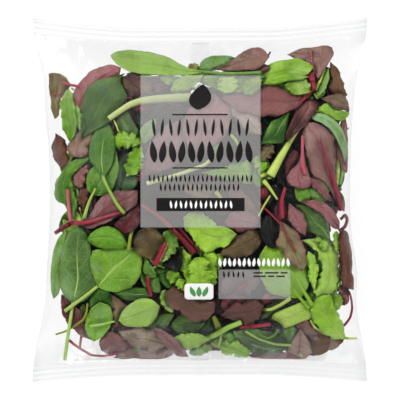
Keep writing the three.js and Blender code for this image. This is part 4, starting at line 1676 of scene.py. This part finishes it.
# %% Stalk material
stalk_paint = Paint("stalk_skin", IOR=1.42, Roughness=0.3, Specular_IOR_Level=0.4)
stalk_tone = stalk_paint.node("ShaderNodeAttribute", {"attribute_name": "tone"})
fibre = stalk_paint.noise(260, 3, 0.6)
stalk_paint.feed(
    Base_Color=stalk_paint.mix(fibre * 0.22, stalk_tone, (0.02, 0.02, 0.01, 1)),
    Normal=stalk_paint.bump(fibre, 0.0005, 0.5),
)
stalk_bm = WORKS["stalks"].bm
bmesh.ops.remove_doubles(stalk_bm, verts=stalk_bm.verts, dist=1e-6)
bmesh.ops.holes_fill(stalk_bm, edges=[edge for edge in stalk_bm.edges if edge.is_boundary], sides=0)
bmesh.ops.recalc_face_normals(stalk_bm, faces=stalk_bm.faces)
stalks = WORKS["stalks"].finish("stalks", stalk_paint.material, "stem")
print("stalk triangles:", triangles(stalks))

# %% [markdown]
# ## The print
# The front is printed with a see-through grey panel, one large leaf, two rules, rows of small
# leaves and a black box, and lower down a second panel with dashes and a white badge. It could be
# one image, but plain shapes stay sharp at every size. Every patch is a grid shaped by how wide
# it is at each height, and lies a hair's breadth above the film. The panel's ink is thin white,
# which lets most of what is behind it through.

# %% Patches of ink
INK_LIFT = 0.12
INK_STEP = 1.2
SHAPED_ROWS = 12
DASH_GAP = 2.2
LEAN = 0.12
ABOVE_ALL = 100
film_tree = BVHTree.FromObject(film, bpy.context.evaluated_depsgraph_get())


def film_top(x, y):
    """The height of the film's own facets under each point, found by a ray from above."""
    down = Vector((0, 0, -1))
    hits = [film_tree.ray_cast(Vector((i, j, ABOVE_ALL)) * MM, down)[0] for i, j in zip(x, y)]
    return np.array([hit.z / MM for hit in hits])


def ink_patch(work, box, shape=None, slant=0, lift=2 * INK_LIFT):
    """A patch of ink in the box (left, top, right, bottom) of pixels, laid on the film."""
    left, top, right, bottom = box
    rows = max(3, math.ceil((bottom - top) * PIXEL / INK_STEP))
    columns = max(3, math.ceil((right - left) * PIXEL / INK_STEP))
    if shape:
        rows = max(rows, SHAPED_ROWS)
    t, u = np.meshgrid(np.linspace(0, 1, rows + 1), np.linspace(-1, 1, columns + 1), indexing="ij")
    wide = shape(t) if shape else 1
    column = (left + right) / 2 + u * wide * (right - left) / 2 + slant * (t - 0.5)
    row = bottom + (top - bottom) * t
    x, y = on_bag(np.stack([column.ravel(), row.ravel()], -1))
    height = film_top(x, y) + lift
    work.sheet(np.stack([x, y, height], -1).reshape(rows + 1, columns + 1, 3))


def rounded(corner, width, height):
    """The width of a rounded rectangle at each share of its height, with all sizes in pixels."""

    def shape(t):
        into = np.clip(corner - np.minimum(t, 1 - t) * height, 0, corner)
        return 1 - 2 * (corner - np.sqrt(corner**2 - into**2)) / width

    return shape


def leaf_shape(t):
    return np.sin(math.pi * np.clip(t, 0.01, 0.99) ** 0.8) ** 0.8


def dashes(work, left, right, top, bottom, shares):
    """A row of plain dashes. shares are their lengths beside one another."""
    free = right - left - DASH_GAP * (len(shares) - 1)
    start = left
    for share in shares:
        end = start + free * share / sum(shares)
        ink_patch(work, (start, top, end, bottom))
        start = end + DASH_GAP


def leaf_row(work, left, right, top, bottom, count, fatness, lift=2 * INK_LIFT):
    """A row of upright leaves that lean to and fro."""
    step = (right - left) / count
    half = step * fatness / 2
    for i in range(count):
        middle = left + (i + 0.5) * step
        lean = LEAN * (bottom - top) * (1 if i % 2 else -1)
        ink_patch(work, (middle - half, top, middle + half, bottom), leaf_shape, lean, lift)


# %% Lay out the print
PANEL_BOX = (141, 75, 261, 227)
LOWER_PANEL_BOX = (219, 269, 291, 298.5)
BADGE_BOX = (185, 283, 214, 299)
BLACK_BOX = (157, 197.5, 245, 210.5)

panel_ink, black_ink, white_ink, grey_ink, green_ink = Work(), Work(), Work(), Work(), Work()
ink_patch(panel_ink, PANEL_BOX, lift=INK_LIFT)
ink_patch(panel_ink, LOWER_PANEL_BOX, lift=INK_LIFT)
ink_patch(black_ink, BLACK_BOX)
ink_patch(black_ink, (190, 84, 212, 109), leaf_shape, 5)
ink_patch(black_ink, (173, 113.4, 228, 114.8))
ink_patch(black_ink, (173, 166.8, 228, 168))
leaf_row(black_ink, 150, 252, 118, 135.5, 12, 0.34)
leaf_row(black_ink, 149, 254, 140.5, 162, 11, 0.74)
leaf_row(black_ink, 148, 254, 174, 181.5, 24, 0.42)
leaf_row(black_ink, 159, 241, 183, 190.5, 18, 0.42)
leaf_row(black_ink, 222, 246, 270.5, 277, 5, 0.4)
dashes(grey_ink, 254, 288, 271.5, 273, (4, 6, 3))
dashes(grey_ink, 254, 285, 275, 276.5, (6, 3, 4))
leaf_row(white_ink, 218, 291, 257.5, 266, 15, 0.7, 3 * INK_LIFT)
leaf_row(white_ink, 169, 234, 200, 208, 13, 0.5, 3 * INK_LIFT)
ink_patch(white_ink, BADGE_BOX, rounded(3, 29, 16))
for middle, slant in ((193, -4), (199.5, 0), (206, 4)):
    ink_patch(green_ink, (middle - 2.6, 286, middle + 2.6, 296), leaf_shape, slant, 3 * INK_LIFT)

# %% The inks
INK_THICKNESS = 0.04
PANEL_INK = 0.12
PANEL_GLOW = 0.1  # painted glow: emitted light that stands in for light coming through the thin ink from behind
panel_paint = Paint("panel_ink", Roughness=0.5, Specular_IOR_Level=0.1, Base_Color=linear((236, 234, 233)))
# The panel ink glows faintly: painted light, for the light that comes through it from behind.
panel_paint.feed(Emission_Color=(1, 0.99, 0.99, 1), Emission_Strength=PANEL_GLOW)
panel_paint.see_through(PANEL_INK + 0.02 * panel_paint.noise(40))
black_paint = Paint("black_ink", Roughness=0.4, Specular_IOR_Level=0.1)
black_tone = black_paint.mix(black_paint.noise(300), linear((22, 20, 20)), linear((34, 31, 31)))
black_paint.feed(Base_Color=black_tone)
white_paint = Paint("white_ink", Roughness=0.4)
white_tone = white_paint.mix(white_paint.noise(300), linear((246, 247, 244)), linear((252, 253, 251)))
white_paint.feed(Base_Color=white_tone)
green_paint = Paint("green_ink", Roughness=0.4, Base_Color=linear((70, 150, 70)))
grey_paint = Paint("grey_ink", Roughness=0.4, Specular_IOR_Level=0.1, Base_Color=linear((52, 48, 46)))
grey_paint.see_through(0.62 + 0.1 * grey_paint.noise(200))
for work, name, paint, slot in [
    (panel_ink, "panel_print", panel_paint, "print_grey"),
    (black_ink, "black_print", black_paint, "print_black"),
    (grey_ink, "grey_print", grey_paint, "print_black"),
    (white_ink, "white_print", white_paint, "print_white"),
    (green_ink, "green_print", green_paint, "print_white"),
]:
    piece = work.finish(name, paint.material, slot)
    thicken(piece, INK_THICKNESS, 1)
    print(name, "triangles:", triangles(piece))

# %% [markdown]
# ## The end
# The view layer is brought up to date once more. The film may stand proud of the imported solid
# by a little.

# %% Update the view layer
bpy.context.view_layer.update()
